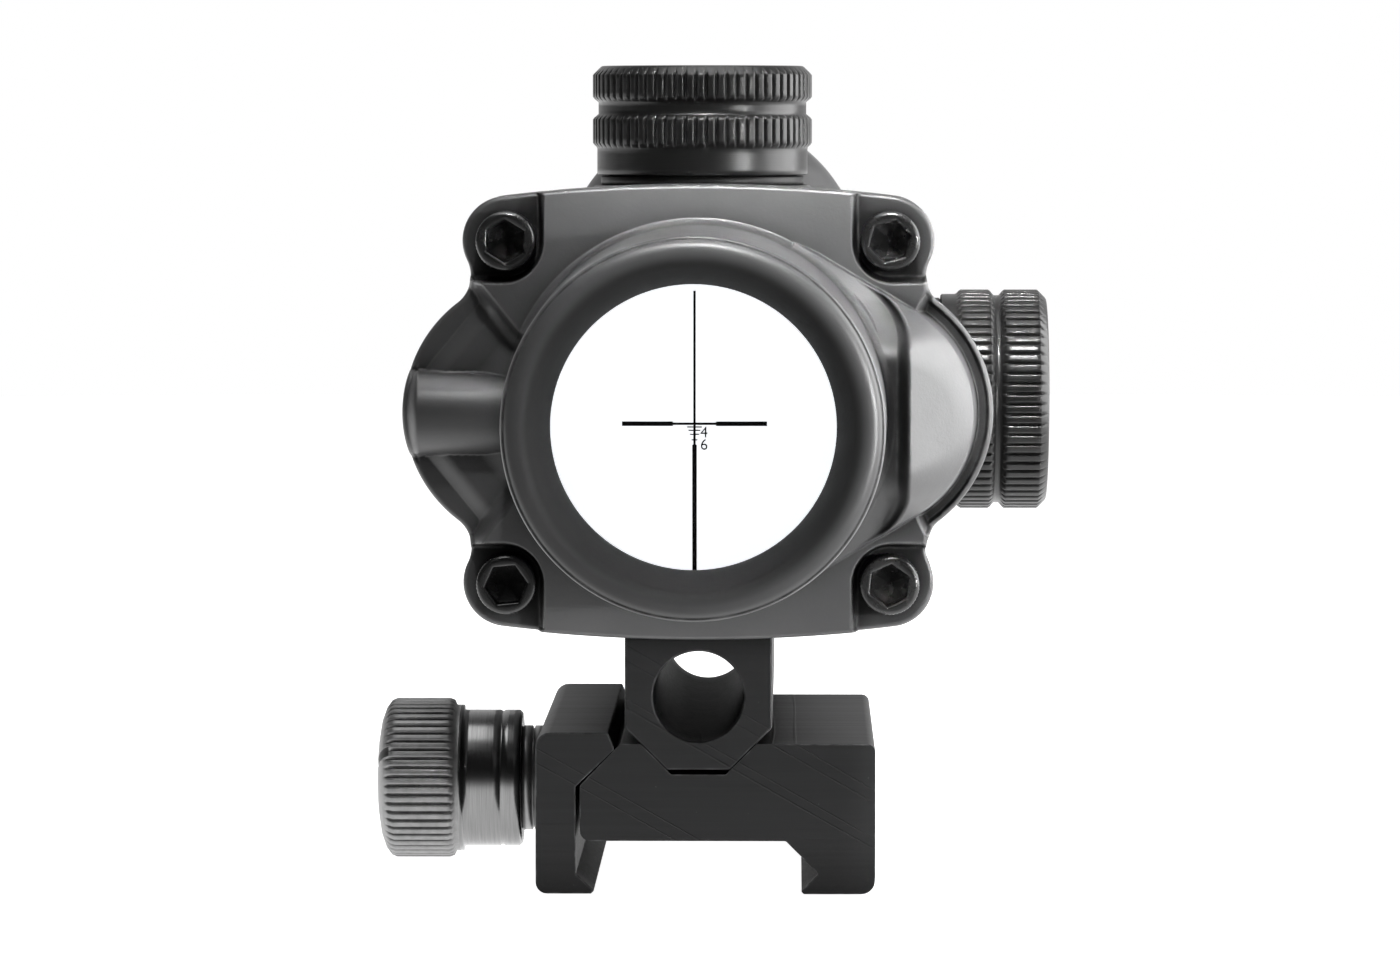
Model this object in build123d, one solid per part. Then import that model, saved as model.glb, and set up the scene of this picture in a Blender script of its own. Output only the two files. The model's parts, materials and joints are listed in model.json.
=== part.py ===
from build123d import *
import os
from math import hypot, sqrt

# Compact prismatic telescopic sight on a see-through riser and a rail clamp.
# Millimetres. X runs to the right seen from the eyepiece, Y runs towards the
# objective and Z runs up. The origin is the middle of the rail seat.

# Optical axis and the main stations along it
AXIS_HEIGHT = 38.0
RIM_Y = -53.0
COVER_REAR_Y = -27.0
COVER_FRONT_Y = -22.9
GASKET_FRONT_Y = -22.5
FLANGE_FRONT_Y = -16.5
TUBE_FRONT_Y = 60.0
BELL_REAR_Y = 68.0
FRONT_Y = 97.0

# Outline of the rear cover and of the housing flange behind it
COVER_TOP = 19.9
SCREW_X, SCREW_Z = 16.75, 15.0
SCREW_R, SCREW_HEAD_R, SCREW_HOLE_R, SCREW_TAP_R = 1.5, 2.62, 1.6, 1.5
SCREW_END_Y, SCREW_TAP_END_Y = -17.1, -17.0
SOCKET_DEPTH = 1.6
LOBE_R = 3.9
BULGE_X, BULGE_R = 13.85, 12.0
NECK_R = 3.0
POCKET_X, POCKET_Z, POCKET_CORNER_R = 13.5, 11.4, 3.4
POCKET_FLOOR_Y = -24.0

# Eyepiece
BARREL_BASE_R, BARREL_RIM_R = 16.8, 16.0
MOUTH_R, OPENING_R, EYE_BORE_R = 13.6, 11.95, 13.0
LEDGE_REAR_Y, EYE_SEAT_Y = -50.2, -49.0
WING_R, WING_REAR_Y, WING_FOOT_Y = 10.3, -49.0, -27.6
WING_CREST_X, WING_CREST_Y = 18.1, -43.0
RIB_R = 3.7
LENS_R, EYEPIECE_FRONT_Y = 12.9, -20.0
RETICLE_REAR_Y, RETICLE_FRONT_Y = -43.0, -41.5
MARK_THICKNESS = 0.06

# Prism chamber and objective tube
CHAMBER_X, CHAMBER_Z, CHAMBER_R = 20.5, 18.4, 13.5
CHAMBER_END_Y = 36.0
CAVITY_X, CAVITY_Z, CAVITY_R = 18.2, 16.1, 11.5
CAVITY_FRONT_Y, THROAT_R, THROAT_FRONT_Y = 20.0, 11.0, 24.0
TUBE_R, TUBE_BORE_R = 17.5, 15.2
BELL_R, BELL_BORE_R = 21.5, 16.2
RIDGE_R, RIDGE_RISE = 15.5, 10.0
RIDGE_REAR_Y, RIDGE_FULL_Y, RIDGE_EDGE_Y, RIDGE_FRONT_Y = 58.0, 70.0, 94.0, 95.0
LENS_SEAT_Y, LENS_JOIN_Y, LENS_EDGE_Y = 84.0, 87.5, 90.6
RETAINER_REAR_Y, THREAD_REAR_Y = 91.8, 94.0
BAFFLE_R, BAFFLE_REAR_Y, BAFFLE_FRONT_Y = 11.0, 50.0, 52.0
OBJECTIVE_R, RETAINER_R, FRONT_THREAD_R = 17.0, 17.5, 18.0

# Riser and clamp
CLAMP_LENGTH = 45.0
RISER_FRONT_Y = 37.5
RISER_HALF, RISER_FOOT = 6.5, 2.8
RISER_BOTTOM, RISER_TOP = 6.3, 18.6
RISER_SCREW_R, RISER_TAP_R, RISER_HEAD_R = 1.25, 1.35, 2.2
RISER_SCREW_BOTTOM, RISER_SCREW_SEAT, RISER_SCREW_TOP = 15.7, 20.5, 22.0
PAD_HALF = 7.5
TUNNEL_R, TUNNEL_Z = 4.0, 12.8
BASE_TOP, GROOVE_BOTTOM = 8.6, 5.9
BASE_RIGHT, BASE_LEFT = 15.6, -10.6
RAIL_HALF, NOTCH_DEPTH = 10.6, 2.9
TOOTH_TIP = 9.05
CLAMP_BOTTOM = -4.7
JAW_INNER, JAW_OUTER, JAW_TOP = -10.7, -14.4, 9.6
BOLT_Z, BOLT_R = 3.1, 2.0
BOLT_LEFT, BOLT_RIGHT = -27.0, 14.5
NUT_R, NUT_LEFT, NUT_RIGHT = 3.6, 11.0, 15.0
WASHER_R = 4.8
BASE_BOLT_R, BASE_BOLT_HOLE_R = 1.5, 1.6
BASE_HEAD_R, BASE_HEAD_HOLE_R = 2.75, 2.9
BASE_HEAD_BOTTOM, BASE_HEAD_TOP, BASE_BOLT_TOP = 0.2, 2.4, 8.4
RUNNING = 0.06
KNOB_R, KNOB_NECK_R = 7.3, 6.25
KNOB_END, KNOB_SHOULDER, KNOB_FACE = -29.8, -22.6, -16.5
SLOT_HALF, SLOT_FLOOR = 0.45, -28.4

# Turrets: distances from the optical axis along each turret's own axis
TURRET_CAP_R, TURRET_SKIRT_R, TURRET_NECK_R = 10.0, 9.6, 8.0
TURRET_PLUG_R, TURRET_BORE_R, TURRET_FLANGE_R = 7.0, 3.05, 9.25
CAP_MOUTH_R, CAP_BORE_R, CAP_ROOF = 8.95, 8.05, 2.4
DIAL_R, DIAL_STEM_R, DIAL_WELL_R = 6.4, 3.0, 6.6
DETENT_X = 4.9
ELEVATION = {"seat": 19.6, "band": 23.0, "groove": 25.9, "band_2": 27.2, "top": 30.4}
WINDAGE = {"seat": 20.9, "band": 23.2, "groove": 26.5, "band_2": 27.2, "top": 31.4}

# Gimbal and prism carriage
GIMBAL_Y = -14.5
RING_R, RING_BORE_R = 13.4, 11.6
CARRIAGE_HALF, CARRIAGE_TUBE_R = 10.4, 11.1
CARRIAGE_REAR_Y, CARRIAGE_NECK_Y, CARRIAGE_FRONT_Y = -18.3, -10.0, 16.0
PRISM_HALF, PRISM_FACE = 7.5, 8.0
PIN_R, PIN_HOLE_R = 1.0, 1.04
PLUNGER_R = 1.5
SPRING_R, SPRING_BORE_R, SPRING_WALL = 3.0, 1.2, 0.3
SPRING_GAP = 0.01

on_axis = Pos(0, 0, AXIS_HEIGHT)
to_side = on_axis * Rot(0, 90, 0)


def rod(axis, radius, start, end, a=0.0, b=0.0):
    """A cylinder along X, Y or Z; a and b are its other two coordinates, in order."""
    middle = (start + end) / 2
    body = Cylinder(radius, end - start)
    if axis == "X":
        return Pos(middle, a, b) * Rot(0, 90, 0) * body
    if axis == "Y":
        return Pos(a, middle, b) * Rot(90, 0, 0) * body
    return Pos(a, b, middle) * body


def block(x, y, z):
    """A box from its low and high limits on each axis."""
    sizes = [high - low for low, high in (x, y, z)]
    centre = [(low + high) / 2 for low, high in (x, y, z)]
    return Pos(*centre) * Box(*sizes)


def lengthwise(face, rear, front):
    """Extrudes a face drawn in X and Z along Y."""
    plane = Plane(origin=(0, rear, 0), x_dir=(1, 0, 0), z_dir=(0, -1, 0))
    return extrude(plane * face, amount=front - rear, dir=(0, 1, 0))


def polygon(*points):
    return make_face(Polyline(*points, close=True))


def turned(*points):
    """Turns a closed outline of (radius, y) points about the optical axis."""
    return on_axis * revolve(polygon(*points), Axis.Y)


def turned_up(*points):
    """Turns a closed outline of (radius, z) points about Z."""
    return revolve(Plane.XZ * polygon(*points), Axis.Z)


def disc_lens(radius, rear, front, rear_bulge, front_bulge):
    """A lens from its edge's two stations; a negative bulge is a hollow face."""
    def halfway(bulge):
        sphere_r = (radius**2 + bulge**2) / (2 * bulge)
        depth = abs(sphere_r) - sqrt(sphere_r**2 - radius**2 / 4)
        return bulge - depth if bulge > 0 else bulge + depth
    bottom = (0, rear - rear_bulge)
    top = (0, front + front_bulge)
    rear_mid = (radius / 2, rear - halfway(rear_bulge))
    front_mid = (radius / 2, front + halfway(front_bulge))
    edges = [
        ThreePointArc(bottom, rear_mid, (radius, rear)),
        Line((radius, rear), (radius, front)),
        ThreePointArc((radius, front), front_mid, top),
        Line(top, bottom),
    ]
    return on_axis * revolve(make_face(edges), Axis.Y)


def toward(start, end, distance):
    """The point at a distance from start on the line to end."""
    reach = hypot(end[0] - start[0], end[1] - start[1])
    share = distance / reach
    return (start[0] + share * (end[0] - start[0]), start[1] + share * (end[1] - start[1]))


def cover_outline(inset=0.0):
    """Outline of cover, gasket and flange: four lobes, two side bulges, necks between."""
    lobe = (SCREW_X, SCREW_Z)
    bulge = (BULGE_X, 0.0)
    lobe_drop = COVER_TOP - SCREW_Z
    top_r = (SCREW_X**2 + lobe_drop**2 - LOBE_R**2) / (2 * (lobe_drop - LOBE_R))
    top_centre = (0.0, COVER_TOP - top_r)
    span = hypot(lobe[0] - bulge[0], lobe[1])
    from_bulge = BULGE_R + NECK_R
    from_lobe = LOBE_R + NECK_R
    along = (from_bulge**2 - from_lobe**2 + span**2) / (2 * span)
    aside = sqrt(from_bulge**2 - along**2)
    step_x, step_z = (lobe[0] - bulge[0]) / span, lobe[1] / span
    neck = (bulge[0] + along * step_x + aside * step_z, along * step_z - aside * step_x)
    top_end = toward(top_centre, lobe, top_r - inset)
    lobe_end = toward(lobe, neck, LOBE_R - inset)
    bulge_end = toward(bulge, neck, BULGE_R - inset)
    lobe_mid = toward(lobe, (lobe[0] + 1.0, lobe[1] + 0.55), LOBE_R - inset)
    neck_mid = toward(neck, (0.0, neck[1] - 1.0), NECK_R + inset)
    side = (BULGE_X + BULGE_R - inset, 0.0)
    edges = []
    for sx, sz in ((1, 1), (-1, 1), (-1, -1), (1, -1)):
        for chain in ((top_end, lobe_mid, lobe_end), (lobe_end, neck_mid, bulge_end)):
            edges.append(ThreePointArc(*[(sx * x, sz * z) for x, z in chain]))
    for sz in (1, -1):
        ends = [(sx * top_end[0], sz * top_end[1]) for sx in (-1, 1)]
        edges.append(ThreePointArc(ends[0], (0.0, sz * (COVER_TOP - inset)), ends[1]))
    for sx in (1, -1):
        ends = [(sx * bulge_end[0], sz * bulge_end[1]) for sz in (-1, 1)]
        edges.append(ThreePointArc(ends[0], (sx * side[0], 0.0), ends[1]))
    return make_face(edges)


def chamber_section(inset=0.0):
    return RectangleRounded(
        2 * (CAVITY_X - inset), 2 * (CAVITY_Z - inset), CAVITY_R - inset
    )


def at_screws():
    return [(sx * SCREW_X, sz * SCREW_Z) for sx in (1, -1) for sz in (1, -1)]


# Housing

def main_housing():
    flange = lengthwise(cover_outline(), GASKET_FRONT_Y, FLANGE_FRONT_Y)
    section = RectangleRounded(2 * CHAMBER_X, 2 * CHAMBER_Z, CHAMBER_R)
    chamber = lengthwise(section, GASKET_FRONT_Y, CHAMBER_END_Y)
    shoulder = turned(
        (0, -23), (28, -23), (28, 10), (TUBE_R, CHAMBER_END_Y), (0, CHAMBER_END_Y)
    )
    body = on_axis * flange + on_axis * chamber & (shoulder + on_axis * flange)
    body += turned(
        (0, 20), (TUBE_R, 20), (TUBE_R, TUBE_FRONT_Y), (BELL_R, BELL_REAR_Y),
        (BELL_R, FRONT_Y - 0.8), (BELL_R - 0.8, FRONT_Y), (0, FRONT_Y),
    )
    ridge = Pos(0, 0, AXIS_HEIGHT + RIDGE_RISE) * revolve(
        polygon(
            (0, RIDGE_REAR_Y), (8, RIDGE_REAR_Y), (RIDGE_R, RIDGE_FULL_Y),
            (RIDGE_R, RIDGE_EDGE_Y), (RIDGE_R - 1, RIDGE_FRONT_Y), (0, RIDGE_FRONT_Y),
        ),
        Axis.Y,
    )
    body += ridge
    body += rod("Z", TURRET_CAP_R, AXIS_HEIGHT + 12, AXIS_HEIGHT + ELEVATION["seat"])
    body += rod("X", TURRET_CAP_R, 12, WINDAGE["seat"], 0, AXIS_HEIGHT)
    pad_top = AXIS_HEIGHT - TUBE_BORE_R - 1
    body += block((-PAD_HALF, PAD_HALF), (GASKET_FRONT_Y, RISER_FRONT_Y), (RISER_TOP, pad_top))
    body -= block((-30, 30), (GASKET_FRONT_Y, RISER_FRONT_Y), (0, RISER_TOP))
    body -= on_axis * lengthwise(chamber_section(), GASKET_FRONT_Y - 1, CAVITY_FRONT_Y)
    body -= turned(
        (0, CAVITY_FRONT_Y - 1), (THROAT_R, CAVITY_FRONT_Y - 1), (THROAT_R, THROAT_FRONT_Y),
        (TUBE_BORE_R, THROAT_FRONT_Y), (TUBE_BORE_R, 70),
        (BELL_BORE_R, LENS_SEAT_Y), (OBJECTIVE_R, LENS_SEAT_Y),
        (OBJECTIVE_R, RETAINER_REAR_Y), (RETAINER_R, RETAINER_REAR_Y),
        (RETAINER_R, THREAD_REAR_Y), (FRONT_THREAD_R, THREAD_REAR_Y),
        (FRONT_THREAD_R, FRONT_Y + 1), (0, FRONT_Y + 1),
    )
    body -= rod("Z", TURRET_PLUG_R, AXIS_HEIGHT + 13, AXIS_HEIGHT + 25)
    body -= rod("X", TURRET_PLUG_R, 13, 25, 0, AXIS_HEIGHT)
    for x, z in at_screws():
        body -= rod("Y", SCREW_TAP_R, GASKET_FRONT_Y - 1, SCREW_TAP_END_Y, x, AXIS_HEIGHT + z)
    for x, y in riser_screw_places():
        body -= rod("Z", RISER_TAP_R, RISER_TOP - 1, RISER_SCREW_SEAT + 0.5, x, y)
        body -= rod("Z", RISER_HEAD_R + 0.1, RISER_SCREW_SEAT, 26, x, y)
    return body


def rear_cover():
    plate = lengthwise(cover_outline(), COVER_REAR_Y, COVER_FRONT_Y)
    pocket = RectangleRounded(20, 20, POCKET_CORNER_R)
    for sx in (1, -1):
        for sz in (1, -1):
            place = Pos(sx * (POCKET_X + 10), sz * (POCKET_Z + 10))
            plate -= lengthwise(place * pocket, COVER_REAR_Y - 1, POCKET_FLOOR_Y)
    side = polygon(
        (-15.5, 5.5), (-20.2, 11.6), (-27, 8), (-27, -8), (-20.2, -11.6), (-15.5, -5.5)
    )
    plate -= lengthwise(side, COVER_REAR_Y - 1, POCKET_FLOOR_Y)
    rib = rod("X", RIB_R, -25.3, -14, POCKET_FLOOR_Y, 0)
    rib &= block((-30, 0), (-30, COVER_FRONT_Y), (-5, 5))
    body = on_axis * (plate + rib) + right_wing()
    body += turned(
        (0, -26), (BARREL_BASE_R, -26), (BARREL_BASE_R, COVER_REAR_Y),
        (BARREL_RIM_R, RIM_Y + 0.5), (BARREL_RIM_R - 0.5, RIM_Y), (0, RIM_Y),
    )
    body -= turned(
        (0, RIM_Y - 1), (14.2, RIM_Y - 1), (14.2, RIM_Y), (MOUTH_R, RIM_Y + 0.6),
        (OPENING_R, LEDGE_REAR_Y), (OPENING_R, EYE_SEAT_Y), (EYE_BORE_R, EYE_SEAT_Y),
        (EYE_BORE_R, EYEPIECE_FRONT_Y), (0, EYEPIECE_FRONT_Y),
    )
    for x, z in at_screws():
        body -= rod("Y", SCREW_HOLE_R, -30, -20, x, AXIS_HEIGHT + z)
    return body


def right_wing():
    """Sloping fairing from the barrel to the right edge of the cover."""
    centre = (BULGE_X, 0.0)
    gap = BARREL_BASE_R - WING_R
    rise = sqrt(BULGE_X**2 - gap**2) / BULGE_X
    lean = gap / BULGE_X
    big = (BARREL_BASE_R * lean, BARREL_BASE_R * rise)
    small = (centre[0] + WING_R * lean, WING_R * rise)
    outline = make_face([
        Line((big[0], -big[1]), (small[0], -small[1])),
        ThreePointArc((small[0], -small[1]), (centre[0] + WING_R, 0), small),
        Line(small, big),
        Line(big, (big[0], -big[1])),
    ])
    tip_x = BULGE_X + WING_R + 0.15
    slope = polygon(
        (0, -26), (0, WING_REAR_Y), (BARREL_BASE_R + 0.1, WING_REAR_Y),
        (WING_CREST_X, WING_CREST_Y), (tip_x, WING_FOOT_Y), (tip_x, -26),
    )
    wedge = Pos(0, 0, -20) * extrude(slope, amount=40)
    return on_axis * (lengthwise(outline, -50, -26) & wedge)


def rear_cover_gasket():
    sheet = lengthwise(cover_outline(0.15), COVER_FRONT_Y, GASKET_FRONT_Y)
    sheet -= lengthwise(chamber_section(), COVER_FRONT_Y - 1, GASKET_FRONT_Y + 1)
    for x, z in at_screws():
        sheet -= rod("Y", SCREW_HOLE_R, -24, -22, x, z)
    return on_axis * sheet


def rear_cover_screws():
    screws = []
    for x, z in at_screws():
        head = rod("Y", SCREW_HEAD_R, COVER_REAR_Y, POCKET_FLOOR_Y, x, AXIS_HEIGHT + z)
        shank = rod("Y", SCREW_R, POCKET_FLOOR_Y, SCREW_END_Y, x, AXIS_HEIGHT + z)
        hexagon = Pos(x, AXIS_HEIGHT + z) * RegularPolygon(1.45, 6, major_radius=False)
        socket = lengthwise(hexagon, COVER_REAR_Y - 1, COVER_REAR_Y + SOCKET_DEPTH)
        screws.append(head + shank - socket)
    return Compound(children=screws)


# Eyepiece optics

def spacer(rear, front, bore):
    return turned((bore, rear), (EYE_BORE_R, rear), (EYE_BORE_R, front), (bore, front))


def eye_lens():
    return disc_lens(LENS_R, EYE_SEAT_Y + 0.15, -46.2, 0.8, 2.0)


def reticle_disc():
    return rod("Y", LENS_R, RETICLE_REAR_Y, RETICLE_FRONT_Y, 0, AXIS_HEIGHT)


def reticle_marks():
    """Post and cross-hair aiming lines on the disc's rear face."""
    def mark(x, z):
        return on_axis * block(x, (RETICLE_REAR_Y - MARK_THICKNESS, RETICLE_REAR_Y), z)
    fine, bold = 0.05, 0.17
    post, side_end, foot = 1.75, 6.0, -11.9
    cross = mark((-fine, fine), (-fine, 11.0))
    cross += mark((-post, post), (-fine, fine))
    cross += mark((-fine, fine), (-post, -fine))
    for sx in (-1, 1):
        ends = sorted((sx * post, sx * side_end))
        cross += mark(ends, (-bold, bold))
    cross += mark((-bold, bold), (foot, -post))
    for drop, half in ((0.25, 0.5), (0.5, 0.4), (0.85, 0.3), (1.35, 0.2)):
        cross += mark((-half, half), (-drop - fine, -drop + fine))
    return cross


def field_lens():
    return disc_lens(LENS_R, -39.3, -36.8, 1.2, 1.2)


# Objective optics

def objective_crown_lens():
    return disc_lens(OBJECTIVE_R, LENS_JOIN_Y, LENS_EDGE_Y, 2.0, 1.8)


def objective_flint_lens():
    return disc_lens(OBJECTIVE_R, LENS_SEAT_Y, LENS_JOIN_Y, 0.4, -2.0)


def objective_oring():
    return on_axis * Pos(0, 91.3, 0) * Rot(90, 0, 0) * Torus(16.5, 0.5)


def objective_retainer():
    ring = turned(
        (16.0, RETAINER_REAR_Y), (RETAINER_R, RETAINER_REAR_Y),
        (RETAINER_R, THREAD_REAR_Y), (16.6, THREAD_REAR_Y),
    )
    slot = block((-20, 20), (THREAD_REAR_Y - 0.8, THREAD_REAR_Y + 1), (-0.6, 0.6))
    return ring - on_axis * slot


def light_baffle():
    skirt_r = TUBE_BORE_R - 1.2
    return turned(
        (BAFFLE_R, BAFFLE_REAR_Y), (TUBE_BORE_R, BAFFLE_REAR_Y),
        (TUBE_BORE_R, BAFFLE_FRONT_Y), (skirt_r, BAFFLE_FRONT_Y),
        (skirt_r, BAFFLE_REAR_Y + 0.8), (BAFFLE_R, BAFFLE_REAR_Y + 0.4),
    )


# Gimbal and prisms

def gimbal_base():
    plate = lengthwise(chamber_section(0.02), -21.5, -18.5)
    for sx in (1, -1):
        ends = sorted((sx * 13.9, sx * 16.2))
        ear = block(ends, (-18.6, -11.8), (-2.8, 2.8))
        plate += ear
    plate -= rod("Y", 12.5, -22, -18, 0, 0)
    plate -= rod("X", PIN_HOLE_R, -17, 17, GIMBAL_Y, 0)
    return on_axis * plate


def gimbal_ring():
    ring = turned(
        (RING_BORE_R, GIMBAL_Y - 3), (RING_R, GIMBAL_Y - 3),
        (RING_R, GIMBAL_Y + 3), (RING_BORE_R, GIMBAL_Y + 3),
    )
    ring -= rod("X", PIN_R, -17, 17, GIMBAL_Y, AXIS_HEIGHT)
    ring -= rod("Z", PIN_R, AXIS_HEIGHT - 17, AXIS_HEIGHT + 17, 0, GIMBAL_Y)
    return ring


def gimbal_pins():
    pins = []
    for sx in (1, -1):
        ends = sorted((sx * 11.7, sx * 16.1))
        pins.append(rod("X", PIN_R, ends[0], ends[1], GIMBAL_Y, AXIS_HEIGHT))
        ends = sorted((sx * 9.6, sx * 13.3))
        pins.append(
            rod("Z", PIN_R, AXIS_HEIGHT + ends[0], AXIS_HEIGHT + ends[1], 0, GIMBAL_Y)
        )
    return Compound(children=pins)


def prism_carriage():
    half = CARRIAGE_HALF
    frame = rod("Y", CARRIAGE_TUBE_R, CARRIAGE_REAR_Y, CARRIAGE_NECK_Y + 0.5, 0, 0)
    frame += block((-half, half), (CARRIAGE_NECK_Y, CARRIAGE_FRONT_Y), (-half, half))
    frame -= rod("Y", 9.3, -19, -9, 0, 0)
    frame -= rod("Y", 7.4, -10, 0, 0, 0)
    frame -= block((-7.6, 7.6), (-1.4, 17), (-8.1, 8.1))
    frame -= block((-4, 4), (4, 9), (8, 11))
    frame -= rod("Z", PIN_HOLE_R, -14, 14, 0, GIMBAL_Y)
    return on_axis * frame


def half_penta_prism():
    outline = polygon((15.6, PRISM_FACE), (15.6, -PRISM_FACE), (6.9, -PRISM_FACE), (1.9, -5.7))
    return prism_from(outline)


def roof_prism():
    outline = polygon((-1.3, -PRISM_FACE), (11.4, 4.7), (9.6, PRISM_FACE), (-1.3, PRISM_FACE))
    body = prism_from(outline)
    for sx in (1, -1):
        side, roof = PRISM_HALF + 0.1, PRISM_FACE + 0.1
        corner = polygon((sx * side, roof), (sx * side, roof - 3.7), (sx * (side - 3.7), roof))
        body -= on_axis * lengthwise(corner, -3, 17)
    return body


def prism_from(outline):
    """A prism 15 wide from its outline drawn in Y and Z."""
    placed = Plane(origin=(-PRISM_HALF, 0, 0), x_dir=(0, 1, 0), z_dir=(1, 0, 0)) * outline
    return on_axis * extrude(placed, amount=2 * PRISM_HALF, dir=(1, 0, 0))


def prism_clip():
    strap = block((-9, 9), (4.5, 8.5), (10.4, 10.8))
    finger = block((-2, 2), (5.5, 7.5), (8.0, 10.4))
    return on_axis * (strap + finger)


def bellows_spring(low, high, inner, outer, folds, wall):
    """A stack of disc springs, as one turned zigzag about Z."""
    step = (high - low) / folds
    one_side = [
        (inner if i % 2 else outer - wall, low + i * step) for i in range(folds + 1)
    ]
    other_side = [(radius + wall, z) for radius, z in reversed(one_side)]
    return turned_up(*one_side, *other_side)


def return_spring(floor, folds):
    ceiling = -CARRIAGE_HALF - SPRING_GAP
    return bellows_spring(-floor, ceiling, SPRING_BORE_R, SPRING_R, folds, SPRING_WALL)


def lower_return_spring():
    return on_axis * return_spring(CAVITY_Z, 8)


def side_return_spring():
    return to_side * return_spring(CAVITY_X, 10)


# Turrets, drawn standing on the optical axis and then placed on it

def turret_base(sizes):
    seat = sizes["seat"]
    bottom, deck, rim = seat - 4.4, seat + 2.9, seat + 5.4
    body = turned_up(
        (TURRET_BORE_R, bottom), (TURRET_PLUG_R, bottom), (TURRET_PLUG_R, seat),
        (TURRET_FLANGE_R, seat), (TURRET_FLANGE_R, seat + 0.8),
        (TURRET_NECK_R, seat + 0.8), (TURRET_NECK_R, rim),
        (DIAL_WELL_R, rim), (DIAL_WELL_R, deck), (TURRET_BORE_R, deck),
    )
    return body - rod("Z", 0.8, seat + 0.5, seat + 3.5, DETENT_X, 0)


def turret_detent_spring(sizes):
    low = sizes["seat"] + 0.5
    return Pos(DETENT_X, 0, 0) * bellows_spring(low, low + 0.8, 0.25, 0.7, 4, 0.12)


def turret_detent_ball(sizes):
    return Pos(DETENT_X, 0, sizes["seat"] + 2.08) * Sphere(0.75)


def turret_oring(sizes):
    return Pos(0, 0, sizes["seat"] + 1.2) * Torus(8.45, 0.4)


def turret_dial(sizes):
    seat = sizes["seat"]
    bore = PLUNGER_R + RUNNING
    bottom, under, ceiling, top = seat - 4.0, seat + 3.0, seat + 3.6, seat + 6.6
    body = turned_up(
        (bore, bottom), (DIAL_STEM_R, bottom), (DIAL_STEM_R, under), (DIAL_R, under),
        (DIAL_R, top), (0, top), (0, ceiling), (bore, ceiling),
    )
    slot = block((-5.6, 5.6), (-0.5, 0.5), (top - 1, top + 0.4))
    return body - slot


def turret_plunger(sizes):
    tip = CARRIAGE_HALF + 0.15
    return turned_up(
        (0, tip), (0.9, tip), (PLUNGER_R, tip + 0.6), (PLUNGER_R, sizes["seat"] + 1.8),
        (0, sizes["seat"] + 1.8),
    )


def turret_cap(sizes):
    seat, top = sizes["seat"], sizes["top"]
    grip, slim = TURRET_CAP_R, TURRET_SKIRT_R
    mouth, ceiling = seat + 0.9, top - CAP_ROOF
    return turned_up(
        (CAP_MOUTH_R, mouth), (slim, mouth), (slim, sizes["band"]),
        (grip, sizes["band"]), (grip, sizes["groove"]), (slim, sizes["groove"]),
        (slim, sizes["band_2"]), (grip, sizes["band_2"]), (grip, top - 0.8),
        (grip - 0.8, top), (0, top), (0, ceiling), (CAP_BORE_R, ceiling),
        (CAP_BORE_R, mouth + 0.9), (CAP_MOUTH_R, mouth + 0.9),
    )


def turret_cap_seal(sizes):
    ceiling = sizes["top"] - CAP_ROOF
    bore, outer = 4.5, CAP_BORE_R - 0.15
    return turned_up((bore, ceiling - 0.8), (outer, ceiling - 0.8), (outer, ceiling), (bore, ceiling))


# Riser and clamp

def riser_screw_places():
    return [(sx * 4.2, y) for sx in (1, -1) for y in (-12.0, 29.0)]


def base_bolt_places():
    return (-14.0, 14.0)


def riser_block():
    slope_top = RISER_BOTTOM + RISER_HALF - RISER_FOOT
    section = polygon(
        (-RISER_FOOT, RISER_BOTTOM), (RISER_FOOT, RISER_BOTTOM), (RISER_HALF, slope_top),
        (RISER_HALF, RISER_TOP), (-RISER_HALF, RISER_TOP), (-RISER_HALF, slope_top),
    )
    body = lengthwise(section, -CLAMP_LENGTH / 2, RISER_FRONT_Y)
    body -= rod("Y", TUNNEL_R, -30, 45, 0, TUNNEL_Z)
    for y in base_bolt_places():
        body -= rod("Z", BASE_BOLT_R, RISER_BOTTOM - 1, RISER_BOTTOM + 2.2, 0, y)
    for x, y in riser_screw_places():
        body -= rod("Z", RISER_SCREW_R, RISER_SCREW_BOTTOM - 0.1, RISER_TOP + 1, x, y)
    return body


def riser_screws():
    screws = []
    for x, y in riser_screw_places():
        shank = rod("Z", RISER_SCREW_R, RISER_SCREW_BOTTOM, RISER_SCREW_SEAT, x, y)
        head = rod("Z", RISER_HEAD_R, RISER_SCREW_SEAT, RISER_SCREW_TOP, x, y)
        screws.append(shank + head)
    return Compound(children=screws)


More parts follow.
